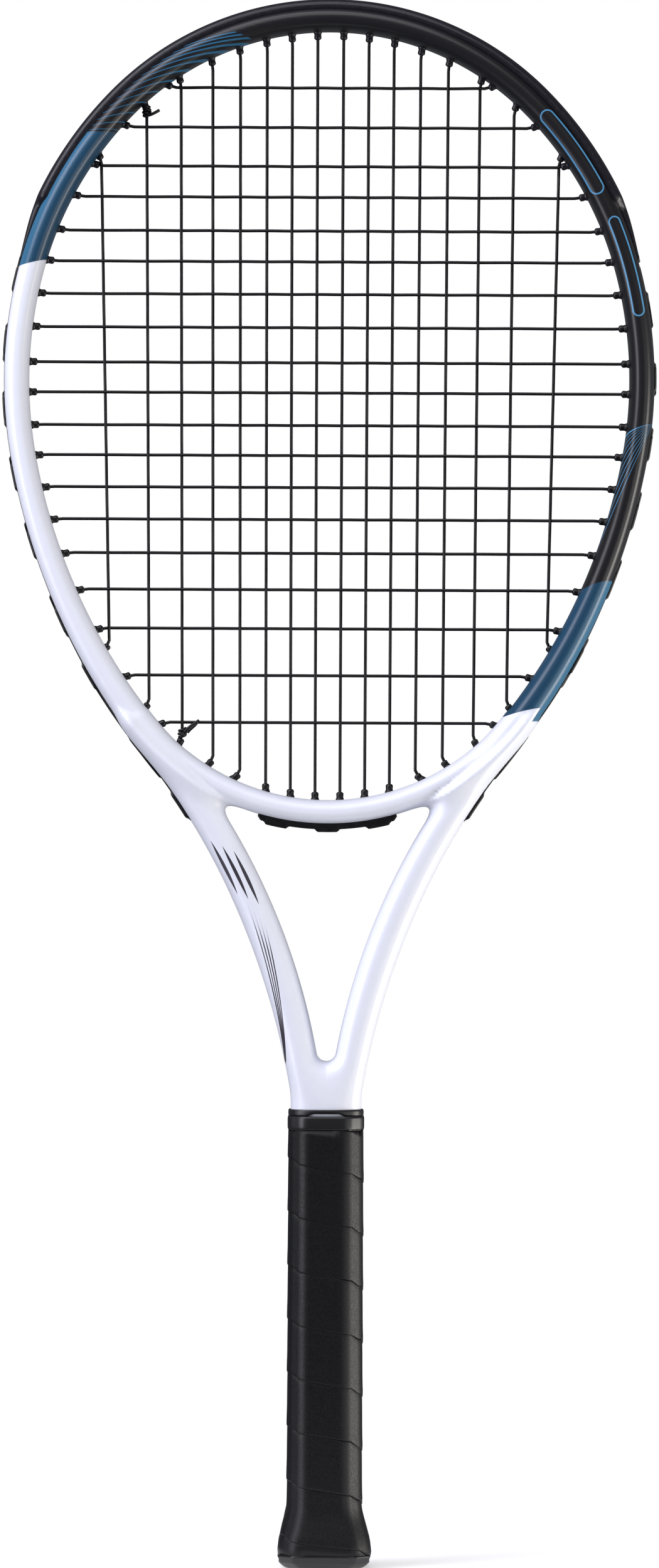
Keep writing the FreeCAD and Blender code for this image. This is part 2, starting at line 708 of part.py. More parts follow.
def make_throat_strip():
    thick = size("throat_strip_thick")
    half = size("throat_strip_half")
    deep = thick + size("throat_pad_height")
    strip = outline_body("throat_band", under_bridge(0.0, thick, half), "Sizes.channel_width + 1")
    pads = outline_body("throat_pads", under_bridge(thick, deep, half), "Sizes.channel_width + 1")
    length = size("throat_pad_length") / 2
    low, high = (z + size("throat_crotch_height") for z in BRIDGE_BETWEEN)
    blocks = [box_between(f"throat_pad_{index}", (place - length, -CLEAR_FORE, low),
                          (place + length, CLEAR_FORE, high))
              for index, place in enumerate(THROAT_PAD_PLACES, start=1)]
    pad_band = common("throat_pad_band", pads, group("Part::Compound", "throat_blocks", blocks))
    floor = thick - THROAT_GROOVE_DEPTH
    groove_plan = under_bridge(floor, deep + 1, half - THROAT_GROOVE_SHORT)
    groove = outline_body("throat_groove", groove_plan, "Sizes.groove_width")
    zone = box_between("throat_zone", (-half - 1, -CLEAR_FORE, low), (half + 1, CLEAR_FORE, high))
    spots = [(name, spot) for name, spot in HOLES if owner_of(spot) == "throat"]
    moulding("throat_grommet_strip", [strip, pad_band], zone, spots, groove)


# ----------------------------------------------------------------- strings

def tangent_wire(points, radii):
    """Straight runs joined by tangent arcs, one radius for each inner point."""
    edges = []
    last = points[0]
    for before, corner, after, radius in zip(points, points[1:], points[2:], radii):
        into = (corner - before).normalize()
        out = (after - corner).normalize()
        turn = into.getAngle(out)
        if turn < 1e-4:
            continue
        setback = min(radius * math.tan(turn / 2), 0.48 * (corner - before).Length,
                      0.48 * (after - corner).Length)
        start, finish = corner - into * setback, corner + out * setback
        across = (out - into).normalize()
        bulge = setback / math.tan(turn / 2) * (1 / math.cos(turn / 2) - 1)
        edges.append(Part.LineSegment(last, start).toShape())
        edges.append(Part.Arc(start, corner + across * bulge, finish).toShape())
        last = finish
    edges.append(Part.LineSegment(last, points[-1]).toShape())
    return Part.Wire(edges)


def tube_along(wire):
    start = wire.Edges[0]
    heading = start.tangentAt(start.FirstParameter)
    origin = start.valueAt(start.FirstParameter)
    ring = Part.Wire([Part.Circle(origin, heading, size("string_diameter") / 2).toShape()])
    return wire.makePipeShell([ring], True, True)


def run_points(first, last, crossings):
    """One string across the hoop: exit, bend, crossings, bend, exit."""
    points = [Vector(*flat(first["exit"])), Vector(*flat(first["bend"]))]
    points += crossings
    return points + [Vector(*flat(last["bend"])), Vector(*flat(last["exit"]))]


def side_of_bed(main, cross):
    """Which face of the bed a main lies on where it meets a cross: 1 or -1."""
    return 1 if (main + cross) % 2 else -1


def free_length(place, ends):
    """How far a place on a string is from the nearer of its bends, negative beyond them."""
    return min(place - min(ends), max(ends) - place)


def main_columns():
    """Mains from left to right: (top grommet, low grommet)."""
    right = list(zip(TOP_HOLES, LOW_HOLES))
    left = [(flip(top), flip(low)) for top, low in reversed(right)]
    return left + right


def aside_at(column, z):
    """How far from the middle a main is at a height."""
    (top_x, top_z), (low_x, low_z) = column[0]["bend"], column[1]["bend"]
    return low_x + (top_x - low_x) * (z - low_z) / (top_z - low_z)


def crossing_offsets(main, column, cross):
    """Distances from the middle plane of a main and a cross where they meet, or None.

    Beside a grommet a string has no room to weave, so the other one goes right round it.
    """
    top, low = column
    z, side = CROSS_HEIGHTS[cross], SIDE_HOLES[cross]
    main_free = free_length(z, (low["bend"][1], top["bend"][1]))
    cross_free = free_length(aside_at(column, z), (-side["bend"][0], side["bend"][0]))
    face = side_of_bed(main, cross)
    if min(main_free, cross_free) < 0:
        return None, None
    if main_free < LEAST_RUN:
        return None, -face * PASSING
    if cross_free < LEAST_RUN:
        return face * PASSING, None
    return face * size("weave"), -face * size("weave")


def main_runs():
    runs = []
    for main, column in enumerate(main_columns()):
        met = []
        for cross, z in reversed(list(enumerate(CROSS_HEIGHTS))):
            offset, _ = crossing_offsets(main, column, cross)
            if offset is not None:
                met.append(Vector(aside_at(column, z), offset, z))
        runs.append(run_points(*column, met))
    return runs


def cross_runs():
    runs = []
    for cross, (z, side) in enumerate(zip(CROSS_HEIGHTS, SIDE_HOLES)):
        met = []
        for main, column in enumerate(main_columns()):
            _, offset = crossing_offsets(main, column, cross)
            if offset is not None:
                met.append(Vector(aside_at(column, z), offset, z))
        runs.append(run_points(flip(side), side, met))
    return runs


def length_at(chain, point):
    """Length along a chain, from its start, to the place nearest a point."""
    nearest, found, travelled = 1e9, 0.0, 0.0
    for arc in chain:
        (cx, cz), radius, a, b = arc
        angle = math.atan2((point[0] - cx) / radius, (point[1] - cz) / radius)
        angle = min(max(angle, min(a, b)), max(a, b))
        gap = math.dist(arc_point(arc, angle), point)
        if gap < nearest:
            nearest, found = gap, travelled + radius * (angle - a)
        travelled += radius * (b - a)
    return found


def point_at(chain, length):
    """The place on a chain at a length from its start."""
    for arc in chain:
        _, radius, a, b = arc
        span = radius * (b - a)
        if length <= span:
            return arc_point(arc, a + length / radius)
        length -= span
    return arc_point(chain[-1], chain[-1][3])


def groove_points(here, far, aside):
    """From an exit to the middle of its loop: beside the exit, then half way along."""
    if max(here.z, far.z) < size("throat_crotch_height") + BRIDGE_RISE:
        return [(here + far) * 0.5]
    chain = outer_chain(string_floor())
    side = 1 if here.x > 0 else -1
    start = length_at(chain, (abs(here.x), here.z))
    end = length_at(chain, (abs(far.x), far.z))
    toward = LOOP_LEAD if end > start else -LOOP_LEAD
    points = []
    for length in (start + toward, (start + end) / 2):
        x, z = point_at(chain, length)
        points.append(Vector(side * x, aside, z))
    return points


def string_path(runs, joined, aside):
    """Lengthen each run into its loops, up to the middle of each loop."""
    paths = []
    for index, points in enumerate(runs):
        path = list(points)
        for end, neighbour in joined(index):
            far = neighbour_end(runs, neighbour, end)
            if end == 0:
                path = groove_points(path[0], far, aside)[::-1] + path
            else:
                path = path + groove_points(path[-1], far, aside)
        paths.append(path)
    return paths


def neighbour_end(runs, index, end):
    return runs[index][0] if end == 0 else runs[index][-1]


def main_links(index):
    """Mains loop in pairs: outer pairs at the top, shifted by one at the throat."""
    half = len(TOP_HOLES)
    links = []
    rank = index - half + 1 if index >= half else half - index
    step = 1 if index >= half else -1
    top_mate = index + (step if rank % 2 else -step)
    links.append((0, top_mate))
    if rank == 1:
        links.append((1, index - step))
    elif rank < half:
        links.append((1, index + (step if rank % 2 == 0 else -step)))
    return links


def cross_links(index):
    """Crosses loop in pairs on the left and, shifted by one, on the right."""
    last = len(CROSS_HEIGHTS) - 1
    left = index + 1 if index % 2 == 0 else index - 1
    right = index - 1 if index % 2 == 0 else index + 1
    return [(end, mate) for end, mate in ((0, left), (1, right)) if 0 <= mate <= last]


def make_strings(label, runs, links, aside):
    tubes = []
    for path in string_path(runs, links, aside):
        radii = []
        for before, corner, after in zip(path, path[1:], path[2:]):
            sharp = (corner - before).getAngle(after - corner) > math.radians(30)
            radii.append(CORNER_RADIUS if sharp else WEAVE_RADIUS)
        tubes.append(tube_along(tangent_wire(path, radii)))
    strings = doc.addObject("Part::Feature", label)
    strings.Shape = Part.makeCompound(tubes)
    strings.Placement = Placement()
    node(strings, label)


# ------------------------------------------------------------------- knots

def make_knots():
    """Two knots: each is turns of string stacked on a main at its grommet."""
    rings = []
    wire = size("string_diameter") / 2
    for place, number in KNOT_MAINS.items():
        column = main_columns()[len(TOP_HOLES) - number]
        spot = column[0] if place == "upper" else column[1]
        inward = -1.0 if place == "upper" else 1.0
        for turn in range(KNOT_TURNS):
            ring = doc.addObject("Part::Torus", f"knot_{place}_{turn + 1}")
            ring.setExpression("Radius2", "Sizes.string_diameter / 2")
            ring.setExpression("Radius1", "Sizes.string_diameter + Sizes.knot_gap")
            height = spot["bend"][1] + inward * (KNOT_START + turn * (2 * wire + TURN_GAP))
            ring.Placement = Placement(Vector(aside_at(column, height), 0, height), Rotation())
            rings.append(ring)
    node(group("Part::Compound", "string_knots", rings), "string_knots")


# ------------------------------------------------------------------ handle

def octagon_sketch(owner, name, height, width, depth, bevel):
    """A closed octagon at a height: width and depth across flats, equal bevels."""
    sketch = sketch_on(owner, name, "XY_Plane")
    sketch.AttachmentOffset = Placement(Vector(0, 0, 1), Rotation())
    sketch.setExpression("AttachmentOffset.Base.z", height)
    corners = [(1, 0.5), (0.5, 1), (-0.5, 1), (-1, 0.5), (-1, -0.5), (-0.5, -1), (0.5, -1), (1, -0.5)]
    points = [Vector(14 * x, 12 * y, 0) for x, y in corners]
    for index, point in enumerate(points):
        sketch.addGeometry(Part.LineSegment(point, points[(index + 1) % 8]))
    for index in range(8):
        link = Sketcher.Constraint("Coincident", index, 2, (index + 1) % 8, 1)
        sketch.addConstraint(link)
    across_y, across_x = -2, -1
    for first, second, axis in ((1, 2, across_y), (0, 3, across_y), (4, 7, across_y), (5, 6, across_y),
                                (0, 7, across_x), (1, 6, across_x)):
        sketch.addConstraint(Sketcher.Constraint("Symmetric", first, 1, second, 1, axis))
    spans = (("DistanceX", 3, 0, width), ("DistanceX", 2, 1, f"{width} - 2 * {bevel}"),
             ("DistanceY", 7, 0, f"{depth} - 2 * {bevel}"), ("DistanceY", 6, 1, depth))
    for kind, first, second, expression in spans:
        number = sketch.addConstraint(Sketcher.Constraint(kind, first, 1, second, 1, 20.0))
        sketch.setExpression(f"Constraints[{number}]", expression)
    return sketch


def octagon_loft(name, levels):
    """A ruled loft through octagons: (height, width, depth, bevel) of each level."""
    owner = body(name)
    sketches = [octagon_sketch(owner, f"{name}_level_{index}", *level)
                for index, level in enumerate(levels, start=1)]
    doc.recompute()
    loft = owner.newObject("PartDesign::AdditiveLoft", name + "_loft")
    loft.Profile = sketches[0]
    loft.Sections = sketches[1:]
    loft.Ruled = True
    doc.recompute()
    return owner


def butt_levels(inset):
    """Levels of the flared butt, taken in by a thickness."""
    levels = []
    for height, width in BUTT_PROFILE:
        across = f"{width} - 2 * {inset}"
        levels.append((f"{height}", f"({across})", f"({across} - Sizes.octagon_narrower)",
                       "Sizes.grip_bevel"))
    return levels


def make_pallet(pallet_size, staples):
    """Foam handle moulded round the two legs."""
    solid = octagon_loft("pallet_solid", [("Sizes.pallet_bottom",) + pallet_size,
                                          ("Sizes.handle_top",) + pallet_size])
    legs = doc.addObject("Part::Box", "legs_room")
    legs.setExpression("Length", "2 * Sizes.leg_half_width")
    legs.setExpression("Width", "Sizes.beam_depth")
    legs.setExpression("Height", "Sizes.handle_top")
    legs.setExpression("Placement.Base.x", "-Sizes.leg_half_width")
    legs.setExpression("Placement.Base.y", "-Sizes.beam_depth / 2")
    legs.setExpression("Placement.Base.z", "Sizes.leg_end_height")
    room = rounded_uprights("legs_room_rounded", legs)
    moulded = cut("pallet_moulded", solid, room)
    return node(cut("handle_pallet", moulded, staples), "handle_pallet")


def make_handle():
    """Pallet, butt cap, staples and base grip, from the inside out."""
    pallet_size = ("Sizes.pallet_width", "Sizes.pallet_depth", "Sizes.pallet_bevel")
    cap_staples = make_cap_staples()
    grip_staple = make_grip_staple()
    make_pallet(pallet_size, cap_staples)
    room = octagon_loft("pallet_room", [("Sizes.pallet_bottom",) + pallet_size,
                                        ("Sizes.handle_top + 5",) + pallet_size])
    edge = size("grip_bottom")
    outside = butt_levels("0")
    inside = butt_levels("Sizes.grip_thickness")
    below = [level for level in outside if float(level[0]) < edge]
    above = [level for level in outside if float(level[0]) > edge]
    under_grip = [level for level in inside if float(level[0]) > edge]
    floor = octagon_loft("cap_floor", below + [("Sizes.grip_bottom",) + below[-1][1:]])
    skirt = octagon_loft("cap_skirt", [("Sizes.grip_bottom",) + under_grip[0][1:]] + under_grip)
    cap_solid = group("Part::MultiFuse", "cap_solid", [floor, skirt])
    cap_shell = cut("cap_shell", cap_solid, room)
    pinned = cut("cap_pinned", cap_shell, cap_staples)
    node(cut("butt_cap", pinned, grip_staple), "butt_cap")

    thickness = "2 * Sizes.grip_thickness"
    grip_level = (f"(Sizes.pallet_width + {thickness})", f"(Sizes.pallet_depth + {thickness})",
                  "Sizes.grip_bevel")
    grip_solid = octagon_loft("grip_solid", [("Sizes.grip_bottom",) + above[0][1:]] + above
                              + [("Sizes.grip_top",) + grip_level])
    over_cap = cut("grip_over_cap", grip_solid, skirt)
    sleeve = cut("grip_sleeve", over_cap, room)
    node(cut("base_grip", sleeve, grip_staple), "base_grip")


def butt_half_depth(height, inset):
    """Half depth of the flared butt at a height, taken in by a thickness."""
    for (low, low_width), (high, high_width) in zip(BUTT_PROFILE, BUTT_PROFILE[1:]):
        if low <= height <= high:
            width = low_width + (high_width - low_width) * (height - low) / (high - low)
            return (width - size("octagon_narrower")) / 2 - inset
    raise ValueError("height outside the butt")


def staple(name, middle_x, face_y, height, leg):
    """A staple whose crown lies along X on a face at face_y, legs pointing inwards."""
    crown, wire = size("staple_crown"), size("staple_wire")
    inwards = -1 if face_y > 0 else 1
    low_y, high_y = sorted((face_y, face_y + inwards * leg))
    crown_low, crown_high = sorted((face_y, face_y + inwards * wire))
    left, right = middle_x - crown / 2, middle_x + crown / 2
    roof = height + wire
    parts = [box_between(name + "_left_leg", (left, low_y, height), (left + wire, high_y, roof)),
             box_between(name + "_right_leg", (right - wire, low_y, height), (right, high_y, roof)),
             box_between(name + "_crown", (left, crown_low, height), (right, crown_high, roof))]
    return group("Part::MultiFuse", name, parts)


def make_cap_staples():
    """Two staples a side hold the butt cap to the pallet."""
    height = size("cap_staple_height")
    face = butt_half_depth(height + size("staple_wire"), size("grip_thickness")) - STAPLE_SINK
    members = []
    for side_name, side in (("front", -1), ("back", 1)):
        for x_name, x in (("left", -1), ("right", 1)):
            members.append(staple(f"cap_staple_{side_name}_{x_name}", x * size("cap_staple_offset"),
                                  side * face, height, size("cap_staple_leg")))
    return node(group("Part::Compound", "butt_cap_staples", members), "butt_cap_staples")


def make_grip_staple():
    """One staple pins the start of the grip to the butt cap."""
    height = size("grip_staple_height")
    face = butt_half_depth(height, size("grip_thickness")) + size("staple_wire") / 2
    return node(staple("grip_start_staple", 0.0, face, height, size("staple_leg")), "grip_start_staple")


def ring_between(name, levels, room_levels):
    outside = octagon_loft(name + "_outside", levels)
    room = octagon_loft(name + "_room", room_levels)
    return cut(name + "_ring", outside, room)


def make_finishing_tape():
    """Tape over the tapered tail of the grip, hidden under the collar."""
    start = "(Sizes.grip_top + 0.2)"
    end = "(Sizes.grip_top + 0.2 + Sizes.tape_height)"
    pallet = ("Sizes.pallet_width", "Sizes.pallet_depth", "Sizes.pallet_bevel")
    grown = ("(Sizes.pallet_width + 2 * Sizes.tape_thickness)",
             "(Sizes.pallet_depth + 2 * Sizes.tape_thickness)", "Sizes.pallet_bevel")
    ring = ring_between("tape", [(start,) + grown, (end,) + grown],
                        [(start + " - 1",) + pallet, (end + " + 1",) + pallet])
    node(ring, "grip_finishing_tape")


def make_collar():
    """Rubber collar: a band round the top of the grip and a lip round the shaft."""
    depth = "(Sizes.collar_width - Sizes.octagon_narrower)"
    band_level = ("Sizes.collar_width", depth, "Sizes.collar_bevel")
    room = "(Sizes.pallet_width + 2 * Sizes.tape_thickness + 2 * Sizes.collar_clearance)"
    room_depth = "(Sizes.pallet_depth + 2 * Sizes.tape_thickness + 2 * Sizes.collar_clearance)"
    lower = ring_between("collar_band", [("Sizes.collar_bottom",) + band_level,
                                         ("Sizes.collar_band_top",) + band_level],
                         [("Sizes.collar_bottom - 1", room, room_depth, "Sizes.collar_room_bevel"),
                          ("Sizes.collar_band_top + 1", room, room_depth, "Sizes.collar_room_bevel")])
    shaft_half = outer_shaft_half()
    inner_half = shaft_half + size("collar_clearance") + COLLAR_FLARE
    inner_deep = size("beam_depth") / 2 + size("collar_clearance")
    wall = size("collar_wall")
    lip_bottom = size("handle_top") + size("collar_step")
    top = size("collar_top")
    outer = rounded_block("collar_lip_outside", inner_half + wall, inner_deep + wall, lip_bottom, top)
    inner = rounded_block("collar_lip_room", inner_half, inner_deep, lip_bottom - 1, top + 1)
    lip = cut("collar_lip", outer, inner)
    slot_low = size("collar_band_top")
    half = size("collar_slot_width") / 2
    slot = box_between("collar_slot", (-half, -CLEAR_FORE, slot_low),
                       (half, CLEAR_FORE, slot_low + size("collar_slot_height")))
    whole = group("Part::MultiFuse", "collar_whole", [lower, lip])
    node(cut("grip_collar", whole, slot), "grip_collar")


def outer_shaft_half():
    return chain_steps(outer_chain())[-1][-1][0]


def rounded_block(name, half_width, half_depth, low, high):
    """An upright block with rounded corners, centred on the shaft."""
    block = box_between(name + "_block", (-half_width, -half_depth, low),
                        (half_width, half_depth, high))
    return rounded_uprights(name, block)


def rounded_uprights(name, block):
    """Round the four upright edges of a block as the tube's edges are rounded."""
    doc.recompute()
    rounded = doc.addObject("Part::Fillet", name)
    rounded.Base = block
    radius = size("tube_edge_radius")
    upright = [index for index, edge in enumerate(block.Shape.Edges, start=1)
               if edge.BoundBox.ZLength > 1.0 and edge.BoundBox.XLength < 0.01
               and edge.BoundBox.YLength < 0.01]
    rounded.Edges = [(index, radius, radius) for index in upright]
    return rounded


# ------------------------------------------------------------------- build

HOLES = all_holes()
make_frame()
make_bumper()
make_side_strip("left_grommet_strip", -1, LEFT_PAD_HEIGHTS)
make_side_strip("right_grommet_strip", 1, RIGHT_PAD_HEIGHTS)
make_throat_strip()
make_strings("main_strings", main_runs(), main_links, -size("loop_aside"))
make_strings("cross_strings", cross_runs(), cross_links, size("loop_aside"))
make_knots()
make_handle()
make_finishing_tape()
make_collar()
doc.recompute()

for item in doc.Objects:
    if "Invalid" in item.State or "Error" in item.State:
        raise RuntimeError(f"{item.Name} did not compute: {item.getStatusString()}")
for item in NODES:
    if item.Shape.isNull() or not item.Shape.isValid():
        raise RuntimeError(f"{item.Label} has no valid shape")

os.makedirs("parts", exist_ok=True)
for item in NODES:
    item.Shape.exportStep(f"parts/{item.Label}.step")
    print(item.Label, len(item.Shape.Solids), round(item.Shape.Volume))
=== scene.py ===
import math

import bmesh
import bpy
import numpy as np
from mathutils import Matrix, Vector


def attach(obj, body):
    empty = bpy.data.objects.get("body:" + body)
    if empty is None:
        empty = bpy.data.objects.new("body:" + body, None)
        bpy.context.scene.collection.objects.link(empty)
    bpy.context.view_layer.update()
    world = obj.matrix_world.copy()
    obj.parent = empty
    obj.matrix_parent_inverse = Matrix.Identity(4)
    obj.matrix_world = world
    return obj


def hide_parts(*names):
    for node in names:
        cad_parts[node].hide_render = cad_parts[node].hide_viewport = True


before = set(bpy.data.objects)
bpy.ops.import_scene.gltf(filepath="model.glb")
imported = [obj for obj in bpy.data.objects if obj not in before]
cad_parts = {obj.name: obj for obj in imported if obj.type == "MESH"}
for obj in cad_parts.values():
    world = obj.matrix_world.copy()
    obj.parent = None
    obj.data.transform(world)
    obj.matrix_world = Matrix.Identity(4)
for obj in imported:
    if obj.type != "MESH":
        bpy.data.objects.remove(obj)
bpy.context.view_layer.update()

MM = 0.001

# ------------------------------------------------------------------ sizes, mm

LENGTH = 692.15
BEAM = 24.0
TUBE = 11.0
BUMPER = 2.95
CROWN_ANGLES = (0, 45, 75, 100, 128, 180)
INNER_LENGTH = 339.3
INNER_RADII = (121.2, 156.0, 187.0)
OUTER_ANGLES = (0, 45, 75, 100, 118, 129, 115, 100, 90)
ARM_RADII = (292.8, 269.0, -302.0, -342.0, -48.3)
CROTCH_RADIUS = 4.3
CROTCH_HEIGHT = 223.6
SIDE_RADIUS = 298.0
SIDE_SLOPE = math.radians(10.3)
HIP_SLOPE = math.radians(38.0)
BRIDGE = 10.5
TOP_MAINS = (5.7, 16.9, 28.0, 39.8, 52.0, 66.0, 81.1, 101.0)
LOW_MAINS = (5.5, 16.4, 27.3, 38.7, 50.6, 64.2, 78.9, 96.6)
CROSSES = (373.0, 393.8, 414.5, 431.7, 447.8, 462.7, 476.9, 491.0, 504.3, 518.7,
           532.0, 547.5, 562.2, 576.6, 590.2, 605.1, 618.7, 635.9, 653.4)
SHOULDER_TILTS = {4: 48.0, 5: 40.0}
THROAT_MAINS = 3
STRING = 1.36
WEAVE = 0.66
BARREL_REACH = 3.3
TOP_LEAN = 1.2
LOW_LEAN = 0.5
SIDE_LEAN = 1.1
LEAST_RUN = 2.0
PASSING = 1.35
BEND_GAP = 0.6
LOOP_ASIDE = 1.5
MIDDLE_HEIGHT = 520.0
GUARD_END = 576.0
STRIP_ENDS = (329.0, 575.4)
LEFT_PADS = (336.5, 361.0, 393.0, 417.5, 451.0, 481.0, 511.5, 541.0, 568.5)
RIGHT_PADS = (336.5, 401.0, 434.5, 464.5, 495.0, 525.5)
PAD_LENGTH = 11.5
THROAT_PADS = (-22.0, 0.0, 22.0)
THROAT_STRIP_HALF = 30.5

TUBE_TOP = LENGTH - BUMPER
INNER_TOP = TUBE_TOP - TUBE


# ------------------------------------------------------------ outline algebra

def arc_chain(start, angles, radii, grow=0.0):
    """Tangent arcs of the right half from the crown: (cx, cz, radius, from, to)."""
    chain = []
    x, z = start
    for radius, a_deg, b_deg in zip(radii, angles[:-1], angles[1:]):
        a, b = math.radians(a_deg), math.radians(b_deg)
        cx, cz = x - radius * math.sin(a), z - radius * math.cos(a)
        chain.append((cx, cz, radius + grow, a, b))
        x, z = cx + radius * math.sin(b), cz + radius * math.cos(b)
    return chain


def closed_radii():
    """The inner radii: the last two close the hoop at its stated length."""
    rad = [math.radians(a) for a in CROWN_ANGLES]
    sines = [math.sin(b) - math.sin(a) for a, b in zip(rad, rad[1:])]
    cosines = [math.cos(b) - math.cos(a) for a, b in zip(rad, rad[1:])]
    left = np.array([[sines[3], sines[4]], [cosines[3], cosines[4]]])
    across = -sum(r * s for r, s in zip(INNER_RADII, sines))
    down = -INNER_LENGTH - sum(r * c for r, c in zip(INNER_RADII, cosines))
    return INNER_RADII + tuple(np.linalg.solve(left, np.array([across, down])))


RADII = closed_radii()


def inner_chain(grow=0.0):
    return arc_chain((0.0, INNER_TOP), CROWN_ANGLES, RADII, grow)


def outer_chain(grow=0.0):
    hoop = tuple(r + TUBE for r in RADII[:3])
    return arc_chain((0.0, TUBE_TOP), OUTER_ANGLES, hoop + ARM_RADII, grow)


def walk(chain, spacing):
    """Points, outward normals and arc lengths along a chain."""
    points, normals, lengths = [], [], []
    travelled = 0.0
    for cx, cz, radius, a, b in chain:
        span = abs(radius * (b - a))
        count = max(2, int(round(span / spacing)))
        for step in range(count):
            t = a + (b - a) * step / count
            points.append((cx + radius * math.sin(t), cz + radius * math.cos(t)))
            normals.append((math.sin(t), math.cos(t)))
            lengths.append(travelled + span * step / count)
        travelled += span
    cx, cz, radius, _, b = chain[-1]
    points.append((cx + radius * math.sin(b), cz + radius * math.cos(b)))
    normals.append((math.sin(b), math.cos(b)))
    lengths.append(travelled)
    return np.array(points), np.array(normals), np.array(lengths)


def first_crossing(chain, origin, heading):
    """Distance along a heading to a chain."""
    found = []
    for cx, cz, radius, a, b in chain:
        ox, oz = origin[0] - cx, origin[1] - cz
        along = ox * heading[0] + oz * heading[1]
        inside = along * along - (ox * ox + oz * oz - radius * radius)
        if inside < 0:
            continue
        low, high = min(a, b) - 1e-6, max(a, b) + 1e-6
        for distance in (-along - math.sqrt(inside), -along + math.sqrt(inside)):
            px, pz = ox + distance * heading[0], oz + distance * heading[1]
            if distance > 0 and low <= math.atan2(px / radius, pz / radius) <= high:
                found.append(distance)
    return min(found)


def ahead(origin, heading, distance):
    return (origin[0] + heading[0] * distance, origin[1] + heading[1] * distance)


def unit(x, z):
    length = math.hypot(x, z)
    return (x / length, z / length)


# ------------------------------------------------------------- mesh functions

def new_mesh(name, vertices, faces):
    """A mesh object from millimetre vertices."""
    mesh = bpy.data.meshes.new(name)
    mesh.from_pydata((np.asarray(vertices, float) * MM).tolist(), [], [tuple(f) for f in faces])
    mesh.update()
    mesh.shade_smooth()
    thing = bpy.data.objects.new(name, mesh)
    bpy.context.scene.collection.objects.link(thing)
    return thing


def join_parts(parts):
    """One vertex and face list from several."""
    vertices, faces, base = [], [], 0
    for part_vertices, part_faces in parts:
        vertices.append(np.asarray(part_vertices, float))
        faces.extend([tuple(i + base for i in f) for f in part_faces])
        base += len(part_vertices)
    return np.vstack(vertices), faces


def frames_along(points):
    """Parallel-transported frames along a polyline."""
    points = np.asarray(points, float)
    tangents = np.gradient(points, axis=0)
    tangents /= np.linalg.norm(tangents, axis=1)[:, None]
    seed = np.array([0.0, 1.0, 0.0])
    if abs(tangents[0] @ seed) > 0.9:
        seed = np.array([1.0, 0.0, 0.0])
    side = np.cross(tangents[0], seed)
    side /= np.linalg.norm(side)
    sides = [side]
    for tangent in tangents[1:]:
        side = side - tangent * (side @ tangent)
        side /= np.linalg.norm(side)
        sides.append(side)
    sides = np.array(sides)
    return points, sides, np.cross(tangents, sides)


def tube(points, radii, around=10):
    """A round tube along points, with one radius or one for each point."""
    points, sides, ups = frames_along(points)
    radii = np.broadcast_to(np.asarray(radii, float), (len(points),))
    turn = np.linspace(0, 2 * math.pi, around, endpoint=False)
    ring = (np.cos(turn)[None, :, None] * sides[:, None, :]
            + np.sin(turn)[None, :, None] * ups[:, None, :])
    vertices = (points[:, None, :] + ring * radii[:, None, None]).reshape(-1, 3)
    return vertices, capped_grid(len(points), around)


def grid_faces(rows, columns, wrap=False, close=False):
    """Quads of a grid whose columns, and rows too if close, may wrap."""
    faces = []
    for row in range(rows if close else rows - 1):
        for column in range(columns if wrap else columns - 1):
            a = row * columns + column
            b = row * columns + (column + 1) % columns
            c = ((row + 1) % rows) * columns + (column + 1) % columns
            d = ((row + 1) % rows) * columns + column
            faces.append((a, b, c, d))
    return faces


def capped_grid(rows, around):
    """Quads of a stack of rings, with one face over each end."""
    last = (rows - 1) * around
    return grid_faces(rows, around, wrap=True) + [tuple(range(around - 1, -1, -1)),
                                                  tuple(range(last, last + around))]


def lathe(origin, axis, profile, around=16):
    """A turned solid: profile is (distance along the axis, radius) pairs."""
    axis = np.asarray(axis, float)
    axis /= np.linalg.norm(axis)
    points = [np.asarray(origin, float) + axis * distance for distance, _ in profile]
    side = np.cross(axis, (0.0, 1.0, 0.0))
    side /= np.linalg.norm(side)
    up = np.cross(axis, side)
    turn = np.linspace(0, 2 * math.pi, around, endpoint=False)
    ring = np.cos(turn)[:, None] * side[None, :] + np.sin(turn)[:, None] * up[None, :]
    vertices = np.vstack([p + ring * r for p, (_, r) in zip(points, profile)])
    return vertices, capped_grid(len(profile), around)


def facing_out(thing, merge=0.0):
    """Make all normals point outwards, after merging points closer than merge metres."""
    work = bmesh.new()
    work.from_mesh(thing.data)
    if merge:
        bmesh.ops.remove_doubles(work, verts=work.verts, dist=merge)
        bmesh.ops.dissolve_degenerate(work, edges=work.edges, dist=merge)
    bmesh.ops.recalc_face_normals(work, faces=work.faces)
    work.to_mesh(thing.data)
    work.free()
    thing.data.update()


def piece(name, parts):
    """One mesh object from several parts."""
    thing = new_mesh(name, *join_parts(parts))
    facing_out(thing)
    return thing


def flat(point, y=0.0):
    return (point[0], y, point[1])


# ------------------------------------------------- painted frame, one surface

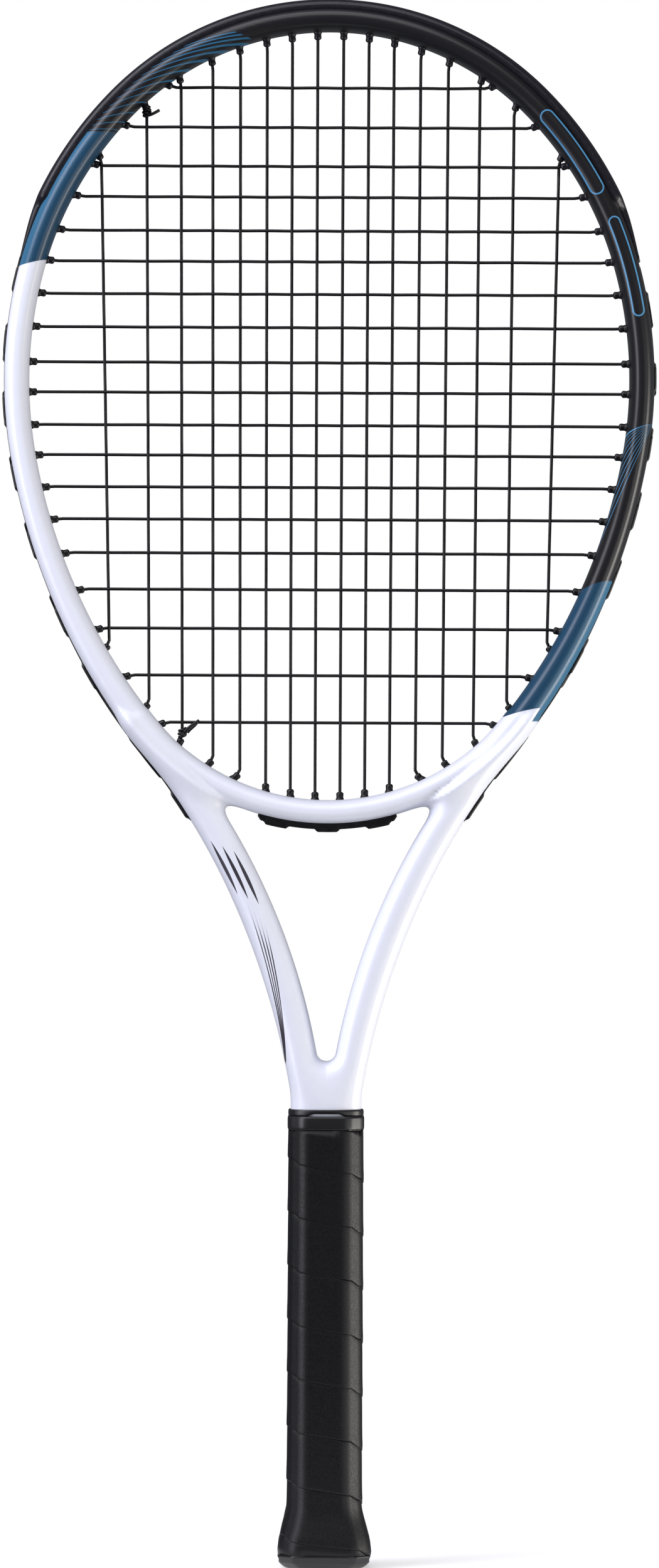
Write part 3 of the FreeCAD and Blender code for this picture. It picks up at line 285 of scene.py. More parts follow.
def signed_distance(chain, x, z):
    """Distance into the region the chain bounds: positive on its centre side."""
    best = np.full(x.shape, 1e9)
    signed = np.full(x.shape, -1e9)
    along = np.zeros(x.shape)
    travelled = 0.0
    for cx, cz, radius, a, b in chain:
        ox, oz = (x - cx) / radius, (z - cz) / radius
        angle = np.arctan2(ox, oz)
        reach = np.hypot(x - cx, z - cz)
        low, high = min(a, b), max(a, b)
        held = np.clip(angle, low, high)
        px, pz = cx + radius * np.sin(held), cz + radius * np.cos(held)
        gap = np.hypot(x - px, z - pz)
        inside = (abs(radius) - reach) * (1.0 if radius > 0 else -1.0)
        nearer = gap < best - 1e-9
        best = np.where(nearer, gap, best)
        signed = np.where(nearer, np.where(inside >= 0, gap, -gap), signed)
        along = np.where(nearer, travelled + radius * (held - a), along)
        travelled += abs(radius * (b - a))
    return signed, along


def straight(start, normal_deg, length):
    """A straight run written as an arc of enormous radius."""
    radius = 1e6
    a = math.radians(normal_deg)
    return (start[0] - radius * math.sin(a), start[1] - radius * math.cos(a), radius,
            a, a + length / radius)


def chain_end(chain):
    cx, cz, radius, _, b = chain[-1]
    return (cx + radius * math.sin(b), cz + radius * math.cos(b))


def opening_chain():
    """Inside edge of the hairpin: round the hoop, down the throat to the crotch."""
    chain = inner_chain()[:4]
    crotch = (0.0, CROTCH_HEIGHT + CROTCH_RADIUS)
    turn = math.pi / 2 + SIDE_SLOPE
    centre = (crotch[0] + (CROTCH_RADIUS + SIDE_RADIUS) * math.sin(turn),
              crotch[1] + (CROTCH_RADIUS + SIDE_RADIUS) * math.cos(turn))
    hip = math.pi / 2 + HIP_SLOPE
    hip_point = (centre[0] - SIDE_RADIUS * math.sin(hip), centre[1] - SIDE_RADIUS * math.cos(hip))
    start = chain_end(chain)
    chain.append(straight(start, 128.0, math.dist(start, hip_point)))
    chain.append((centre[0], centre[1], -SIDE_RADIUS, hip, turn))
    chain.append((crotch[0], crotch[1], CROTCH_RADIUS, turn, math.pi))
    return chain


def arm_chain():
    chain = outer_chain()
    return chain + [straight(chain_end(chain), 90.0, 12.0)]


OUTSIDE = arm_chain()
OPENING = opening_chain()
BOW = inner_chain()[-1]
SQUARENESS = 2.5
CHANNEL_HALF = 3.6
CHANNEL_DEEP = 1.3
CHANNEL_END = 330.5
BLEND_OVER, BLEND_UNDER = 1.6, 8.0


def super_round(rho, y, half):
    """A rounded section: negative inside, zero on the surface."""
    return (np.abs(rho) ** SQUARENESS + np.abs(y / half) ** SQUARENESS) ** (1 / SQUARENESS) - 1.0


def hairpin_fields(x, z):
    """Place across the hairpin tube (-1 outer edge, 1 inner edge) and its half width."""
    ax = np.abs(x)
    outer, along = signed_distance(OUTSIDE, ax, z)
    opening, _ = signed_distance(OPENING, ax, z)
    inner = -opening
    width = np.maximum(outer + inner, 2.0)
    return (outer - inner) / width, width / 2, along, outer, inner


def bridge_fields(x, z):
    """Distance from the bridge's middle line, in half widths, and its blend with the tube.

    The blend is wide under the bridge, where fillets round the throat, and narrow over it.
    """
    _, cz, radius, a, _ = BOW
    reach = np.hypot(x, z - cz)
    turn = np.arctan2(np.abs(x), z - cz)
    middle = radius + BRIDGE / 2
    past = np.maximum(a - turn, 0.0) * middle
    rho = (reach - middle) / (BRIDGE / 2)
    under = np.clip(rho, 0.0, 1.0)
    blend = BLEND_OVER + (BLEND_UNDER - BLEND_OVER) * under * under * (3 - 2 * under)
    return np.hypot(rho, past / (BRIDGE / 2)), blend


def soft_min(a, b, k):
    """The smaller of two measures, rounded over a width k where they are alike."""
    h = np.maximum(k - np.abs(a - b), 0.0) / k
    return np.minimum(a, b) - h * h * k / 4


def frame_measure(fields, y, z):
    """Signed measure, in mm near the surface, of the painted frame with its string channel."""
    rho, half, outer, bridge, blend = fields
    tube_f = super_round(rho, y, BEAM / 2) * np.minimum(half, TUBE / 2 + 1.0)
    bridge_f = super_round(bridge, y, BEAM / 2 - 0.6) * (BRIDGE / 2)
    channel = np.maximum(np.maximum(np.abs(y) - CHANNEL_HALF, outer - CHANNEL_DEEP), CHANNEL_END - z)
    return np.maximum(soft_min(tube_f, bridge_f, blend), -channel)


def plan_fields(x, z):
    rho, half, _, outer, _ = hairpin_fields(x, z)
    return rho, half, outer, *bridge_fields(x, z)


def frame_surface(x, y, z):
    return frame_measure(plan_fields(x, z), y, z)


def frame_slopes(points):
    """Gradient of the frame's measure at points."""
    e = 0.04
    x, y, z = points.T
    return np.stack([frame_surface(x + e, y, z) - frame_surface(x - e, y, z),
                     frame_surface(x, y + e, z) - frame_surface(x, y - e, z),
                     frame_surface(x, y, z + e) - frame_surface(x, y, z - e)], 1) / (2 * e)


def surface_nets(low, high, step):
    """Quads round the zero of frame_surface over a box of cells."""
    axes = [np.arange(a, b + step, step) for a, b in zip(low, high)]
    gx, gz = np.meshgrid(axes[0], axes[2], indexing="ij")
    fields = [field[:, None, :] for field in plan_fields(gx, gz)]
    values = frame_measure(fields, axes[1][None, :, None], gz[:, None, :]).astype(np.float32)
    inside = values < 0
    nx, ny, nz = (n - 1 for n in values.shape)
    corner_sets = [(i, j, k) for i in (0, 1) for j in (0, 1) for k in (0, 1)]
    count = np.zeros((nx, ny, nz), np.int8)
    for i, j, k in corner_sets:
        count += inside[i:i + nx, j:j + ny, k:k + nz]
    active = (count > 0) & (count < 8)
    index = np.full(active.shape, -1, np.int64)
    cells = np.argwhere(active)
    index[active] = np.arange(len(cells))
    total = np.zeros((len(cells), 3))
    weight = np.zeros(len(cells))
    for axis in range(3):
        others = [n for n in range(3) if n != axis]
        for p in (0, 1):
            for q in (0, 1):
                first = np.zeros(3, int)
                first[others[0]], first[others[1]] = p, q
                second = first.copy()
                second[axis] = 1
                va = values[tuple((cells + first).T)]
                vb = values[tuple((cells + second).T)]
                cut = (va < 0) != (vb < 0)
                t = np.where(cut, va / np.where(cut, va - vb, 1.0), 0.0)
                place = first + t[:, None] * (second - first)
                total += place * cut[:, None]
                weight += cut
    local = total / weight[:, None]
    points = np.array([axes[n][0] for n in range(3)]) + (cells + local) * step
    faces = []
    for axis in range(3):
        others = [n for n in range(3) if n != axis]
        sa = [slice(0, -1) if n == axis else slice(1, -1) for n in range(3)]
        sb = [slice(1, None) if n == axis else slice(1, -1) for n in range(3)]
        va, vb = inside[tuple(sa)], inside[tuple(sb)]
        edges = np.argwhere(va != vb)
        starts = va[va != vb]
        base = edges.copy()
        for n in others:
            base[:, n] += 1
        quad = []
        for dp, dq in ((0, 0), (1, 0), (1, 1), (0, 1)):
            cell = base.copy()
            cell[:, others[0]] -= dp
            cell[:, others[1]] -= dq
            quad.append(index[tuple(cell.T)])
        quad = np.array(quad).T
        backward = starts if axis != 1 else ~starts
        quad[backward] = quad[backward][:, ::-1]
        faces.append(quad)
    faces = np.vstack(faces)
    return points, faces[(faces >= 0).all(axis=1)]


def settle(points, rounds=3):
    """Slide points along the slope onto the surface."""
    points = points.copy()
    for _ in range(rounds):
        measure = frame_surface(*points.T)
        slope = frame_slopes(points)
        steep = np.maximum((slope ** 2).sum(1), 0.05)
        points -= slope * np.clip(measure / steep, -0.6, 0.6)[:, None]
    return points


def make_frame_shell():
    step = 1.25
    low = (-150.0, -BEAM / 2 - 2.5 * step, 196.0)
    high = (150.0, BEAM / 2 + 2.5 * step, TUBE_TOP + 3 * step)
    points, faces = surface_nets(low, high, step)
    points = settle(points)
    thing = new_mesh("frame_shell", points, faces.tolist())
    mesh = thing.data
    x, y, z = points.T
    rho, _, along, outer, _ = hairpin_fields(x, z)
    sign = np.where(x < 0, -1.0, 1.0)
    for name, values in (("across", rho), ("along", along * sign), ("edge", outer)):
        attribute = mesh.attributes.new(name, "FLOAT", "POINT")
        attribute.data.foreach_set("value", values.astype(np.float32))
    facing_out(thing)
    slope = frame_slopes(points)
    slope /= np.linalg.norm(slope, axis=1)[:, None] + 1e-9
    mesh.normals_split_custom_set_from_vertices(slope.tolist())
    return thing


# --------------------------------------------------------- grommets and strings

def string_floor():
    """Middle of a loop of string over the outside of the tube."""
    return -0.6 + STRING / 2 + 0.25


def hoop_normal(point):
    """Square to the inside of the hoop at a point, toward the middle."""
    for cx, cz, _, a, b in inner_chain():
        angle = math.atan2(point[0] - cx, point[1] - cz)
        if a - 1e-6 <= angle <= b + 1e-6:
            return unit(cx - point[0], cz - point[1])
    return (0.0, 1.0)


def hole(place, inward, lean, tilt=None):
    """One grommet of the right half: bend point, barrel tip, exit point and axis."""
    outward = (-inward[0], -inward[1])
    wall = ahead(place, outward, first_crossing(inner_chain(), place, outward))
    bend = ahead(wall, inward, BARREL_REACH + BEND_GAP)
    normal = hoop_normal(wall)
    if tilt is None:
        axis = unit(normal[0] + lean * inward[0], normal[1] + lean * inward[1])
    else:
        axis = (-math.sin(math.radians(tilt)), math.cos(math.radians(tilt)))
    back = (-axis[0], -axis[1])
    tip = ahead(bend, back, BEND_GAP)
    leave = ahead(bend, back, first_crossing(outer_chain(string_floor()), bend, back))
    return {"bend": bend, "tip": tip, "exit": leave, "axis": axis}


def bridge_low(x):
    radius = BOW[2] + BRIDGE
    return BOW[1] - math.sqrt(radius * radius - x * x)


def bridge_hole(x):
    tip = CROSSES[0] - first_crossing(inner_chain(), (x, CROSSES[0]), (0.0, -1.0)) + BARREL_REACH
    return {"bend": (x, tip + BEND_GAP), "tip": (x, tip),
            "exit": (x, bridge_low(x) - 2.15), "axis": (0.0, 1.0)}


def flip(spot):
    """The same grommet on the left half."""
    return {key: (-value[0], value[1]) for key, value in spot.items()}


TOP_HOLES = [hole((x, MIDDLE_HEIGHT), (0.0, -1.0), TOP_LEAN) for x in TOP_MAINS]
LOW_HOLES = [bridge_hole(x) if n <= THROAT_MAINS
             else hole((x, MIDDLE_HEIGHT), (0.0, 1.0), LOW_LEAN, SHOULDER_TILTS.get(n))
             for n, x in enumerate(LOW_MAINS, start=1)]
SIDE_HOLES = [hole((0.0, z), (-1.0, 0.0), SIDE_LEAN) for z in CROSSES]


def columns():
    """The top and low grommet of each main, from left to right."""
    right = list(zip(TOP_HOLES, LOW_HOLES))
    left = [(flip(top), flip(low)) for top, low in reversed(right)]
    return left + right


def offsets(main, column, cross):
    """Distances from the middle plane of a main and a cross where they meet, or None."""
    top, low = column
    z, side = CROSSES[cross], SIDE_HOLES[cross]["bend"][0]
    main_free = min(z - low["bend"][1], top["bend"][1] - z)
    cross_free = side - abs(lean_to(top, low, z))
    face = 1.0 if (main + cross) % 2 else -1.0
    if min(main_free, cross_free) < 0:
        return None, None
    if main_free < LEAST_RUN:
        return None, -face * PASSING
    if cross_free < LEAST_RUN:
        return face * PASSING, None
    return face * WEAVE, -face * WEAVE


def lean_to(top, low, z):
    """Place along X of a main at a height: it fans from its low to its top grommet."""
    t = (z - low["bend"][1]) / (top["bend"][1] - low["bend"][1])
    return low["bend"][0] + (top["bend"][0] - low["bend"][0]) * t


def bend_in(spot):
    """Points from the exit along the barrel, up to just before its mouth."""
    return [flat(spot["exit"])] + [flat(ahead(spot["bend"], spot["axis"], -back)) for back in (6.0, 2.2)]


def softened(points, rounds=2):
    """Round the corners of a polyline by cutting them."""
    points = np.asarray(points, float)
    for _ in range(rounds):
        near = points[:-1] * 0.75 + points[1:] * 0.25
        far = points[:-1] * 0.25 + points[1:] * 0.75
        middle = np.empty((2 * len(near), 3))
        middle[0::2], middle[1::2] = near, far
        points = np.vstack([points[:1], middle, points[-1:]])
    return points


def woven(stations, bends, spacing=2.4):
    """A string through crossings at stations (distance, side) from bend to bend."""
    start, finish = (np.array(flat(bend)) for bend in bends)
    heading = (finish - start) / np.linalg.norm(finish - start)
    distances = [0.0] + [s for s, _ in stations] + [float(np.linalg.norm(finish - start))]
    sides = [0.0] + [side for _, side in stations] + [0.0]
    count = int(distances[-1] / spacing)
    s = np.linspace(1.6, distances[-1] - 1.6, count)
    y = np.zeros(count)
    for n in range(len(distances) - 1):
        a, b = distances[n], distances[n + 1]
        here = (s >= a) & (s <= b)
        t = (s[here] - a) / (b - a)
        y[here] = sides[n] + (sides[n + 1] - sides[n]) * (0.5 - 0.5 * np.cos(math.pi * t))
    points = start + heading * s[:, None]
    points[:, 1] = y
    return points


def strung(first, last, stations):
    """One run of string from grommet to grommet, woven between them."""
    middle = woven(stations, (first["bend"], last["bend"]))
    run = np.vstack([softened(np.vstack([bend_in(first), middle[:1]])), middle[1:-1],
                     softened(np.vstack([middle[-1:], bend_in(last)[::-1]]))])
    return tube(run, STRING / 2)


def loop(first, last, aside):
    """The string outside the tube, from one grommet to the next, in its groove."""
    a, b = first["exit"], last["exit"]
    (cx, cz), angles = loop_centre(a, b)
    count = 9
    points = []
    for n in range(1, count):
        t = n / count
        angle = angles[0] + (angles[1] - angles[0]) * t
        radius = math.dist(a, (cx, cz)) * (1 - t) + math.dist(b, (cx, cz)) * t
        y = aside * min(smooth_step(0.0, 0.28, t), smooth_step(0.0, 0.28, 1 - t))
        points.append((cx + radius * math.sin(angle), y, cz + radius * math.cos(angle)))
    return np.array(points)


def loop_centre(a, b):
    """Centre and angles of the arc the loop follows round the hoop."""
    middle = ((abs(a[0]) + abs(b[0])) / 2, (a[1] + b[1]) / 2)
    best, centre = 1e9, (0.0, 500.0)
    for cx, cz, radius, low, high in outer_chain()[:6]:
        angle = math.atan2((middle[0] - cx) / radius, (middle[1] - cz) / radius)
        gap = abs(math.hypot(middle[0] - cx, middle[1] - cz) - abs(radius))
        if low - 0.05 <= angle <= high + 0.05 and gap < best:
            best, centre = gap, (cx, cz)
    if a[0] < 0 or b[0] < 0:
        centre = (-centre[0], centre[1])
    if a[0] * b[0] < 0:
        centre = (0.0, centre[1])
    return centre, [math.atan2(p[0] - centre[0], p[1] - centre[1]) for p in (a, b)]


def main_links():
    """(end, main, main) of the outside loops: end 0 at the crown, 1 at the throat."""
    half = len(TOP_MAINS)
    links = [(1, half - 1, half)]
    for rank in range(1, half):
        end = 0 if rank % 2 else 1
        links += [(end, half - 1 + rank, half + rank), (end, half - rank, half - rank - 1)]
    return links


def make_mains():
    parts = []
    mains = columns()
    for main, (top, low) in enumerate(mains):
        stations = []
        reach = math.dist(top["bend"], low["bend"])
        for cross in range(len(CROSSES) - 1, -1, -1):
            offset, _ = offsets(main, (top, low), cross)
            if offset is not None:
                share = (top["bend"][1] - CROSSES[cross]) / (top["bend"][1] - low["bend"][1])
                stations.append((share * reach, offset))
        parts.append(strung(top, low, stations))
    for end, a, b in main_links():
        parts.append(string_loop(mains[a][end], mains[b][end], -LOOP_ASIDE))
    return piece("string_mains", parts)


def string_loop(first, last, aside):
    """One loop outside, from inside one barrel to inside the next."""
    inside = [flat(ahead(spot["exit"], spot["axis"], 2.5)) for spot in (first, last)]
    ends = np.array([flat(first["exit"]), flat(last["exit"])])
    if max(first["exit"][1], last["exit"][1]) < CROTCH_HEIGHT + 120.0:
        middle = ends
    else:
        middle = np.vstack([ends[:1], loop(first, last, aside), ends[1:]])
    return tube(softened(np.vstack([inside[:1], middle, inside[1:]])), STRING / 2)


def make_crosses():
    parts = []
    lines = columns()
    for cross, spot in enumerate(SIDE_HOLES):
        left = flip(spot)
        z = CROSSES[cross]
        stations = []
        for main, column in enumerate(lines):
            _, offset = offsets(main, column, cross)
            if offset is not None:
                x = lean_to(*column, z)
                stations.append((x - left["bend"][0], offset))
        parts.append(strung(left, spot, stations))
    for cross, spots in enumerate(zip(SIDE_HOLES, SIDE_HOLES[1:])):
        if cross % 2 == 0:
            spots = [flip(spot) for spot in spots]
        parts.append(string_loop(*spots, LOOP_ASIDE))
    return piece("string_crosses", parts)


def make_knots():
    """Two tied-off knots: stacked turns round a main with cut tails."""
    parts = []
    for place, number in (("upper", 7), ("lower", 6)):
        top, low = columns()[len(TOP_MAINS) - number]
        spot = top if place == "upper" else low
        inward = -1.0 if place == "upper" else 1.0
        x0, z0 = spot["bend"]
        turns = 2.6
        t = np.linspace(0.0, 1.0, 60)
        turn = 2 * math.pi * turns * t + (0.6 if place == "upper" else 2.4)
        first = -1.3 if place == "upper" else 0.3
        rise = z0 + inward * (first + 3.6 * t)
        radius = STRING + 0.02 + 0.12 * np.sin(turn * 1.5)
        coil = np.stack([x0 + radius * np.cos(turn), radius * np.sin(turn),
                         rise + 0.35 * np.sin(turn + 0.7)], 1)
        parts.append(tube(coil, STRING / 2 * 0.98))
        hitch = np.stack([x0 + 1.5 * np.cos(t * 5.2 + 3.6), 1.5 * np.sin(t * 5.2 + 3.6) - 0.2,
                          z0 + inward * (first - 0.1 + 4.1 * t)], 1)
        parts.append(tube(hitch[10:50], STRING / 2 * 0.96))
        if place == "upper":
            tail = [coil[-1], (x0 + 2.0, -1.6, rise[-1] + 0.4), (x0 + 3.8, -1.5, rise[-1] + 1.3),
                    (x0 + 5.6, -1.3, rise[-1] + 2.4)]
            parts.append(tube(softened(tail), STRING / 2))
        else:
            for shift, reach in ((0.0, 7.5), (1.45, 5.6)):
                tail = [(x0 + 0.8 + shift, -1.5, z0 + 2.2), (x0 + 2.0 + shift, -1.7, z0 + 3.6),
                        (x0 + 4.4 + shift, -1.5, z0 + 5.6), (x0 + reach + shift, -1.3, z0 + 7.6)]
                parts.append(tube(softened(tail), STRING / 2))
    return piece("string_ties", parts)


def barrel_at(spot):
    """A grommet barrel with a chamfered, slightly flared tip and a dark mouth."""
    axis = np.array(flat(spot["axis"]))
    start = np.array(flat(spot["exit"])) + axis * 1.2
    reach = float(np.linalg.norm(np.array(flat(spot["tip"])) - start))
    profile = [(0.0, 1.45), (reach - 2.6, 1.5), (reach - 1.1, 1.62), (reach - 0.5, 1.62),
               (reach - 0.05, 1.2), (reach + 0.12, 0.95), (reach - 0.3, 0.78), (reach - 1.2, 0.72)]
    return lathe(start, axis, profile)


def skirt_at(spot):
    """The low shoulder a barrel has where it leaves the tube."""
    axis = np.array(flat(spot["axis"]))
    start = np.array(flat(spot["tip"])) - axis * (BARREL_REACH + 1.4)
    return lathe(start, axis, [(0.0, 2.0), (1.0, 2.0), (1.9, 1.75), (2.5, 1.5)])


# ------------------------------------------------------------ swept mouldings

def hoop_walk(spacing, low, high):
    """Points, normals and lengths down the outside of the tube between two heights."""
    points, normals, lengths = walk(outer_chain()[:6], spacing)
    keep = (points[:, 1] > low) & (points[:, 1] < high)
    return points[keep], normals[keep], lengths[keep]


def sweep(points, normals, sections):
    """A closed section (height over the tube, y) carried along; sections vary by station."""
    rows = []
    for point, normal, section in zip(points, normals, sections):
        section = np.asarray(section, float)
        row = np.empty((len(section), 3))
        row[:, 0] = point[0] + normal[0] * section[:, 0]
        row[:, 2] = point[1] + normal[1] * section[:, 0]
        row[:, 1] = section[:, 1]
        rows.append(row)
    return np.vstack(rows), capped_grid(len(rows), len(rows[0]))


def mirrored(right):
    return right + [(height, -y) for height, y in reversed(right)]


def grooved_section(lows, top, half, shoulder, groove_low):
    """A grooved strip: (height, y) round the section."""
    right = [(lows, half - 0.25), (min(0.0, top - 0.6), half), (top - shoulder, half - 0.1),
             (top - 0.35 * shoulder, half - 0.42 * shoulder), (top, half - 1.15 * shoulder),
             (top, 2.75), (top - 0.12, 2.45), (top - 0.45, 2.3), (groove_low + 0.2, 2.25),
             (groove_low, 1.9)]
    return mirrored(right)


def smooth_step(a, b, x):
    t = min(1.0, max(0.0, (x - a) / (b - a)))
    return t * t * (3 - 2 * t)


def both_ways(points, normals):
    """A walk of the right half carried round the crown to the left half."""
    left = points[::-1][:-1] * np.array([-1.0, 1.0])
    left_normals = normals[::-1][:-1] * np.array([-1.0, 1.0])
    return np.vstack([left, points]), np.vstack([left_normals, normals])


def bumper_section(share, wrap):
    """Section of the guard: share is its height, wrap how far it laps over the tube."""
    top = 0.6 + (BUMPER - 0.6) * share
    half = 4.6 + 5.0 * wrap
    low = -1.75 * wrap - 0.3
    right = [(low, 0.93 * half), (0.6 * low, 0.985 * half), (0.0, half), (0.35 * top, 0.975 * half),
             (0.62 * top, 0.91 * half), (0.84 * top, 0.8 * half), (0.95 * top, 0.7 * half),
             (top, 0.62 * half), (top, max(0.36 * half, 2.95)), (top - 0.1, 2.75), (top - 0.35, 2.4),
             (-0.35, 2.25), (-0.6, 1.9)]
    return mirrored(right)


def make_bumper(spots):
    points, normals, lengths = hoop_walk(1.5, GUARD_END, LENGTH)
    full = lengths[-1]
    shares = [smooth_step(0.0, 34.0, full - s + 3.0) for s in lengths]
    wraps = [smooth_step(24.0, 30.0, full - s) for s in lengths]
    all_points, all_normals = both_ways(points, normals)
    sections = [bumper_section(share, wrap) for share, wrap in zip(shares, wraps)]
    parts = [sweep(all_points, all_normals, sections[::-1][:-1] + sections)] + fittings(spots)
    return piece("head_guard", parts)


def fittings(spots):
    """The barrel and the shoulder of each grommet."""
    return [part for spot in spots for part in (barrel_at(spot), skirt_at(spot))]


def make_side_strip(name, side, pads, spots):
    points, normals, lengths = hoop_walk(0.9, *STRIP_ENDS)
    sections = []
    for (_, z), s in zip(points, lengths):
        lift = 0.0
        for pad in pads:
            away = abs(z - pad)
            lift = max(lift, 1.0 - smooth_step(PAD_LENGTH / 2 - 1.1, PAD_LENGTH / 2 + 0.6, away))
        end = smooth_step(0.0, 3.0, min(s - lengths[0], lengths[-1] - s) + 0.5)
        floor = 0.05 + 0.4 * end * (1.0 - smooth_step(380.0, 440.0, z))
        top = floor + 0.85 * lift
        sections.append(grooved_section(-1.25, top, 3.55 + 0.8 * lift, 0.35 + 0.25 * lift, -0.55))
    mirror = np.array([float(side), 1.0])
    parts = [sweep(points * mirror, normals * mirror, sections)] + fittings(spots)
    return piece(name, parts)


def make_throat_strip(spots):
    half = THROAT_STRIP_HALF
    points, normals, sections = [], [], []
    radius = BOW[2] + BRIDGE
    for x in np.linspace(-half, half, 91):
        angle = math.asin(x / radius)
        points.append((x, BOW[1] - radius * math.cos(angle)))
        normals.append((math.sin(angle), -math.cos(angle)))
        lift = max(1.0 - smooth_step(4.2, 5.6, abs(x - pad)) for pad in THROAT_PADS)
        end = smooth_step(0.0, 2.2, half - abs(x) + 0.3)
        top = 0.9 + 1.6 * end + 1.2 * lift
        sections.append(grooved_section(-0.8, top, 4.6, 0.5, 0.9))
    parts = [sweep(points, normals, sections)] + fittings(spots)
    return piece("throat_strip", parts)


def sort_holes():
    """Grommets of each moulding."""
    owners = {"guard": [], "left": [], "right": [], "throat": []}
    for spot in TOP_HOLES:
        owners["guard"] += [spot, flip(spot)]
    for spot in LOW_HOLES[:THROAT_MAINS]:
        owners["throat"] += [spot, flip(spot)]
    for spot in LOW_HOLES[THROAT_MAINS:] + SIDE_HOLES:
        if spot["exit"][1] > GUARD_END + 1.0:
            owners["guard"] += [spot, flip(spot)]
        else:
            owners["right"].append(spot)
            owners["left"].append(flip(spot))
    return owners


# -------------------------------------------------------------------- handle

BUTT = ((0.0, 30.0), (2.5, 38.0), (8.0, 41.8), (13.6, 40.2), (20.0, 36.8), (27.0, 33.9),
        (34.0, 33.7), (260.0, 33.7))
BEVEL = 6.35
NARROWER = 3.7
GRIP_BOTTOM = 6.0
GRIP_TOP = 193.4
PITCH = 23.65
SEAM_AT_LEFT = 185.5


def octagon_samples(per_edge=7, per_corner=4):
    """Samples round a rounded octagon: (corner, next corner, share, normal angle)."""
    samples = []
    for corner in range(8):
        a = math.radians(45.0 * corner)
        b = math.radians(45.0 * (corner + 1))
        for n in range(per_corner):
            samples.append((corner, corner, 0.0, a + (b - a) * n / (per_corner - 1)))
        for n in range(1, per_edge):
            samples.append((corner, (corner + 1) % 8, n / per_edge, b))
    return samples


SAMPLES = octagon_samples()


def octagon_ring(width, rounding, bevel=BEVEL, inset=0.0):
    """Points (x, y) round a rounded octagon; corner 0 is between +X and its next face."""
    width -= 2 * inset
    depth = width - NARROWER
    bevel = max(bevel - 0.586 * inset, 1.0)
    hx, hy = width / 2 - rounding, depth / 2 - rounding
    diagonal = width / 2 + depth / 2 - bevel - rounding * math.sqrt(2)
    corners = [(hx, diagonal - hx), (diagonal - hy, hy), (-(diagonal - hy), hy), (-hx, diagonal - hx),
               (-hx, -(diagonal - hx)), (-(diagonal - hy), -hy), (diagonal - hy, -hy),
               (hx, -(diagonal - hx))]
    ring = []
    for a, b, share, angle in SAMPLES:
        x = corners[a][0] * (1 - share) + corners[b][0] * share
        y = corners[a][1] * (1 - share) + corners[b][1] * share
        ring.append((x + rounding * math.cos(angle), y + rounding * math.sin(angle)))
    return ring


def octagon_level(z, *shape):
    return [(x, y, z) for x, y in octagon_ring(*shape)]


def butt_width(z):
    """Width across the flats, smoothly through the profile."""
    zs = [p[0] for p in BUTT]
    ws = [p[1] for p in BUTT]
    slopes = [0.0] * len(zs)
    for n in range(1, len(zs) - 1):
        before = (ws[n] - ws[n - 1]) / (zs[n] - zs[n - 1])
        after = (ws[n + 1] - ws[n]) / (zs[n + 1] - zs[n])
        slopes[n] = 0.0 if before * after <= 0 else 2 * before * after / (before + after)
    slopes[0] = 4.5
    for n in range(len(zs) - 1):
        if zs[n] <= z <= zs[n + 1]:
            h = zs[n + 1] - zs[n]
            t = (z - zs[n]) / h
            return (ws[n] * (1 + 2 * t) * (1 - t) ** 2 + slopes[n] * h * t * (1 - t) ** 2
                    + ws[n + 1] * t * t * (3 - 2 * t) + slopes[n + 1] * h * t * t * (t - 1))
    return ws[-1]


def stack(rings):
    """A solid through rings of (x, y, z), each end closed by a fan round its middle."""
    vertices = [v for ring in rings for v in ring]
    count = len(rings[0])
    faces = grid_faces(len(rings), count, wrap=True)
    for index in (0, len(rings) - 1):
        hub, start = len(vertices), index * count
        vertices.append(tuple(np.array(rings[index]).mean(axis=0)))
        for n in range(count):
            a, b = start + n, start + (n + 1) % count
            faces.append((b, a, hub) if index == 0 else (a, b, hub))
    return np.array(vertices), faces


def make_cap():
    """Butt cap: domed underside with a plain recessed panel, edge tucked under the grip."""
    rings = []
    for z, inset in ((1.1, 7.6), (1.1, 7.0), (0.7, 6.6), (0.1, 6.2), (0.0, 5.4), (0.15, 3.2)):
        rings.append(octagon_level(z, 38.0, 3.0, BEVEL + 1.0, inset))
    for n in range(9):
        turn = math.pi / 2 * n / 8
        z = 0.35 + 3.1 * (1 - math.cos(turn))
        inset = 2.6 * (1 - math.sin(turn))
        width = 36.0 + 4.1 * (z - 0.35) / 3.1
        rings.append(octagon_level(z, width, 3.0, BEVEL + 0.4, inset))
    for z in (4.6, 5.4, 6.0, 6.5):
        width = butt_width(z) - (0.2 if z < 6.2 else 1.6)
        rings.append(octagon_level(z, width, 2.6))
    for z in (7.5, 12.0, 20.0, 30.0, 34.0):
        width = butt_width(z) - 3.7
        rings.append(octagon_level(z, width, 2.2))
    return piece("butt_end_cap", [stack(rings)])


RIBBON = ((0.0, -0.3), (0.001, 0.02), (0.006, 0.16), (0.018, 0.24), (0.045, 0.27), (0.09, 0.25),
          (0.16, 0.19), (0.26, 0.13), (0.4, 0.08), (0.58, 0.05), (0.76, 0.02), (0.9, -0.03),
          (0.98, -0.1), (1.03, -0.4))


def seam_wobble(turn):
    return 0.16 * math.sin(turn * 1.7 + 0.4) + 0.1 * math.sin(turn * 4.3 + 1.9)


